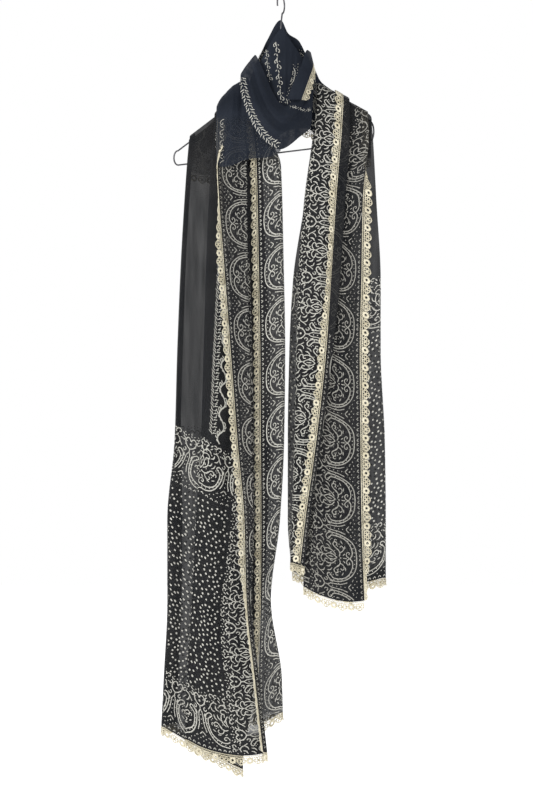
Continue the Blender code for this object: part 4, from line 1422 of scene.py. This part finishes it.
def lace_repeat():
    """One repeat of the lace, flat: s along the edge, d out from it and t through it."""
    parts = []
    for depth in (1.0, 4.9):
        parts.append(cord_line([(s, depth) for s in np.linspace(0, LACE_REPEAT, 12)], 0.65, 5))
    zigzag = [(s, 2.95 + 1.7 * (-1) ** n) for n, s in enumerate(np.linspace(0, LACE_REPEAT, 19))]
    parts.append(cord_line(zigzag, 0.5, 4))
    parts.append(cord_loop((LACE_REPEAT / 4, 10.4), 4.3, 4.3, 2.4, 0.95, 32, 5, 8, 0.4))
    flower = (LACE_REPEAT * 3 / 4, 10.8)
    for s, d, rs, rd in ((4.2, 0, 2.7, 2.3), (-4.2, 0, 2.7, 2.3), (0, 4.2, 2.3, 2.6),
                         (0, -4.0, 2.3, 2.4)):
        parts.append(cord_loop((flower[0] + s, flower[1] + d), rs, rd, 0.7, 0.8, 10, 4))
    outline = [(0, 7.3), (3.0, 6.4), (5.2, 4.6), (7.4, 2.4), (8.1, 0), (7.0, -3.0), (4.2, -5.4),
               (0, -6.2), (-4.2, -5.4), (-7.0, -3.0), (-8.1, 0), (-7.4, 2.4), (-5.2, 4.6),
               (-3.0, 6.4), (0, 7.3)]
    parts.append(cord_line([(flower[0] + s, flower[1] + d) for s, d in outline], 0.75, 4))
    parts.append(cord_loop(flower, 0.9, 0.9, 0.9, 1.2, 8, 4))
    for low, high in ((LACE_REPEAT / 4 + 6.8, flower[0] - 7.8), (flower[0] + 7.8,
                                                               LACE_REPEAT * 5 / 4 - 6.8)):
        for depth in (8.4, 12.2):
            parts.append(cord_line([(low, depth), ((low + high) / 2, depth + 0.3), (high, depth)],
                                   0.75, 4))
    points, faces = [], []
    for some_points, some_faces in parts:
        first = len(points)
        points += some_points
        faces += [tuple(first + v for v in face) for face in some_faces]
    return np.array(points), np.array(faces)


cotton, tree, shader = new_material("cream_crochet_lace")
put_mottle(tree, shader, 55.0, (0.62, 0.56, 0.40), (0.87, 0.81, 0.63), 0.78, 0.92)
shader.inputs["Sheen Weight"].default_value = 0.15
yarn = add_node(tree, "ShaderNodeTexWave", wave_type="BANDS", bands_direction="DIAGONAL")
yarn.inputs["Scale"].default_value = 420.0
yarn.inputs["Distortion"].default_value = 3.0
place_on = add_node(tree, "ShaderNodeTexCoord")
tree.links.new(place_on.outputs["Object"], yarn.inputs["Vector"])
link_bump(tree, shader, yarn.outputs["Fac"], 0.5, 0.0006)

lace_points, lace_faces = lace_repeat()


def lace(name, near, far, node, twist=0.0):
    """Lace between the line where it is sewn on and the line of its points."""
    near, far = np.asarray(near, float), np.asarray(far, float)
    lengths = np.concatenate([[0], np.cumsum(np.linalg.norm(np.diff(near, axis=0), axis=1))])
    repeats = max(1, round(lengths[-1] / LACE_REPEAT))
    scale = lengths[-1] / (repeats * LACE_REPEAT)
    s = (lace_points[:, 0][None] + np.arange(repeats)[:, None] * LACE_REPEAT).ravel() * scale
    depth = np.tile(lace_points[:, 1], repeats) / LACE_DEPTH
    thick = np.tile(lace_points[:, 2], repeats)
    s = np.clip(s, 0, lengths[-1])
    base = np.stack([np.interp(s, lengths, near[:, c]) for c in range(3)], axis=1)
    tip = np.stack([np.interp(s, lengths, far[:, c]) for c in range(3)], axis=1)
    out = tip - base
    tangent = np.gradient(near, axis=0)
    run = np.stack([np.interp(s, lengths, tangent[:, c]) for c in range(3)], axis=1)
    normal = np.cross(run, out)
    normal /= np.maximum(np.linalg.norm(normal, axis=1), 1e-9)[:, None]
    curl = twist * np.sin(s / 19.0 + 0.7) * np.sin(s / 7.3) * depth ** 2
    points = base + out * depth[:, None] + normal * (thick + curl)[:, None]
    faces = (lace_faces[None] + (np.arange(repeats) * len(lace_points))[:, None, None])
    item = add_mesh(name, points, faces.reshape(-1, 4), cotton)
    fit(item, "cream_crochet_lace", node)
    return item


def selvedge_lines(tail, end, rows_down, widths=((0, LACE_DEPTH), (1, LACE_DEPTH))):
    """Where lace is sewn along a tail's first (0) or last (-1) selvedge, and its points.

    The widths are how far it reaches at each drop, less where it turns aslant."""
    layers = len(tail["ranks"])
    way = -1 if end == 0 or layers % 2 == 0 else 1
    rank = tail["ranks"][end]
    lines = ([], [])
    for share, row in tail_stations(rows_down):
        x, crossing, hem = fold_places(tail, share, row)[end]
        level = wire_drop(crossing) + (hem - wire_drop(crossing)) * share
        width = read_off(widths, level)
        for line, reach in zip(lines, (SEAM_GAP, width)):
            top = wire_drop(crossing + way * reach)
            line.append(place(tail, x + way * reach, top + (hem - top) * share, top, rank, row))
    return lines


OVER_RANK = -0.8
LEFT_REAR_WIDTHS = ((0, 13.5), (700, 14.5), (1100, 13.0))
RIGHT_FRONT_WIDTHS = ((0, 17.0), (390, 16.0), (450, 11.0), (570, 10.5), (640, 15.5), (1100, 17.0))
NECK_LACE_DEPTH = 14.5
TUCKED_TO = 300.0
STANDS_FROM = 1040.0
TURN_LENGTH = 70.0
STAND_ANGLE = 72.0
# drop and lean of the left front lace: 0 lies over the tail, 90 stands up, 180 lies outward
LACE_LEANS = [(270, 0), (330, 90), (390, 90), (480, 146), (1080, 146), (1170, 104)]


def left_front_lines(rows_down):
    """The front lace lies over the tail at the shoulder, swings out below it, then stands up."""
    lines = ([], [])
    for share, row in tail_stations(rows_down):
        x, crossing, hem = fold_places(LEFT_TAIL, share, row)[0]
        over = []
        for reach in (0.0, LACE_DEPTH):
            top = wire_drop(crossing + reach)
            over.append(place(LEFT_TAIL, x + reach, top + (hem - top) * share, top,
                              OVER_RANK, row))
        top = wire_drop(crossing)
        drop = top + (hem - top) * share
        edge = place(LEFT_TAIL, x, drop, top, 0, row)
        turned = read_off(LACE_LEANS, drop)
        lean = math.radians(float(turned) if row is None else 0.0)
        way = np.array((math.cos(lean), -math.sin(lean), 0.0))
        reach = (LACE_DEPTH - SEAM_GAP) * (1 - 0.35 * math.sin(lean) ** 2)
        aside = np.clip((math.degrees(lean) - 90) / 56, 0, 1)
        base = edge + np.array((-SEAM_GAP * aside, -1.3 * (1 - aside), 0.0))
        blend = np.clip(math.degrees(lean) / 60, 0, 1)
        blend = blend * blend * (3 - 2 * blend)
        lines[0].append(over[0] * (1 - blend) + base * blend)
        lines[1].append(over[1] * (1 - blend) + (base + way * reach) * blend)
    return lines


def right_rear_lines(rows_down):
    """The rear lace is turned under at the shoulder, lies out below it and stands up low down."""
    near, far = selvedge_lines(RIGHT_TAIL, -1, rows_down)
    for n, (share, row) in enumerate(tail_stations(rows_down)):
        x, crossing, hem = fold_places(RIGHT_TAIL, share, row)[-1]
        top = wire_drop(crossing)
        drop = top + (hem - top) * share
        out = np.clip((drop - TUCKED_TO) / TURN_LENGTH, 0, 1) if row is None else 0.0
        if out < 1:
            edge = place(RIGHT_TAIL, x, drop, top, RIGHT_TAIL["ranks"][-1] + 0.35, row)
            tucked = place(RIGHT_TAIL, x - LACE_DEPTH, drop, top,
                           RIGHT_TAIL["ranks"][-1] + 0.45, row)
            near[n] = edge * (1 - out) + near[n] * out
            far[n] = tucked * (1 - out) + far[n] * out
        stand = np.clip((drop - STANDS_FROM) / TURN_LENGTH, 0, 1) if row is None else 0.0
        lean = math.radians(STAND_ANGLE * stand)
        if stand > 0:
            far[n] = near[n] + np.array((math.cos(lean), -math.sin(lean), 0.0)) * LACE_DEPTH
    return near, far


def beyond(edge, inside, reach):
    """The line that lies past an edge, straight on from the line inside it."""
    out = edge - inside
    return edge + out / np.linalg.norm(out, axis=1)[:, None] * reach


def hem_lines(grid):
    """Where hem lace is sewn on below the cloth's lowest line, and its points."""
    near = grid[0] - (0, 0, SEAM_GAP)
    return near, grid[0] - (0, 0, LACE_DEPTH)


left_laces = [
    lace("left_front_lace_work", *left_front_lines(170), "left_front_lace"),
    lace("left_rear_lace_work", *selvedge_lines(LEFT_TAIL, -1, 170, LEFT_REAR_WIDTHS),
         "left_rear_lace"),
    lace("left_hem_lace_work", *hem_lines(left_grid), "left_hem_lace", 1.6),
]
right_laces = [
    lace("right_front_lace_work", *selvedge_lines(RIGHT_TAIL, 0, 140, RIGHT_FRONT_WIDTHS),
         "right_front_lace"),
    lace("right_rear_lace_work", *right_rear_lines(140), "right_rear_lace"),
    lace("right_hem_lace_work", *hem_lines(right_grid), "right_hem_lace", 1.6),
]
back_lace = lace("back_lace_work", beyond(back_grid[0], back_grid[3], SEAM_GAP),
                 beyond(back_grid[0], back_grid[3], LACE_DEPTH), "back_lace")
neck_lace = lace("neck_lace_work", beyond(neck_grid[0], neck_grid[2], SEAM_GAP),
                 beyond(neck_grid[0], neck_grid[2], NECK_LACE_DEPTH), "neck_lace")

# Floor, light and camera: a pale matt sweep, white all round with a soft key and fill, and
# the photograph's view from straight in front, framed on the whole stole.
FLOOR_DROP = 1720.0
FLOOR_REACH = 6000.0
VIEW_DISTANCE = 3.6
VIEW_HALF_HEIGHT = 0.76
SENSOR_HEIGHT = 24.0
floor_material, tree, shader = mottled_material("pale_floor", 3.0, (0.90, 0.90, 0.90),
                                                (0.93, 0.93, 0.93), 0.75, 0.85, 40.0, 0.05, 0.001)
shader.inputs["Specular IOR Level"].default_value = 0.1
shader.inputs["Emission Color"].default_value = (1.0, 1.0, 1.0, 1.0)
shader.inputs["Emission Strength"].default_value = 0.8
floor_corners = [(x * FLOOR_REACH, y * FLOOR_REACH, -FLOOR_DROP)
                 for x, y in ((-1, -1), (1, -1), (1, 1), (-1, 1))]
floor = add_mesh("floor", floor_corners, [(0, 1, 2, 3)], floor_material, smooth=False)
world = bpy.data.worlds.new("studio")
world.use_nodes = True
sky = world.node_tree.nodes["Background"]
sky.inputs["Color"].default_value = (1.0, 1.0, 1.0, 1.0)
seen = add_node(world.node_tree, "ShaderNodeLightPath")
level = add_node(world.node_tree, "ShaderNodeMapRange")
level.inputs["To Min"].default_value = 0.45
level.inputs["To Max"].default_value = 1.0
world.node_tree.links.new(seen.outputs["Is Camera Ray"], level.inputs["Value"])
world.node_tree.links.new(level.outputs["Result"], sky.inputs["Strength"])
bpy.context.scene.world = world
for name, place_at, size, power in (("key", (-2.0, -1.9, 0.4), 1.4, 50.0),
                                    ("fill", (1.9, -1.8, -0.7), 1.8, 15.0)):
    light = bpy.data.lights.new(name, "AREA")
    light.energy = power
    light.size = size
    lamp = bpy.data.objects.new(name, light)
    lamp.location = place_at
    bpy.context.scene.collection.objects.link(lamp)
    aim = np.array((0.0, 0.0, -0.75)) - np.array(place_at)
    lamp.rotation_euler = (math.atan2(math.hypot(aim[0], aim[1]), -aim[2]), 0.0,
                           math.atan2(aim[1], aim[0]) - math.pi / 2)
bpy.context.scene.view_settings.view_transform = "Standard"
camera_data = bpy.data.cameras.new("camera")
camera = bpy.data.objects.new("camera", camera_data)
bpy.context.scene.collection.objects.link(camera)
bpy.context.scene.camera = camera
camera.location = (-0.0276, -3.63, -0.775)
camera.rotation_euler = (math.radians(90), 0.0, 0.0)
camera_data.sensor_fit = "VERTICAL"
camera_data.sensor_height = SENSOR_HEIGHT
camera_data.lens = SENSOR_HEIGHT / 2 / (VIEW_HALF_HEIGHT / VIEW_DISTANCE)
camera_data.clip_end = 50.0
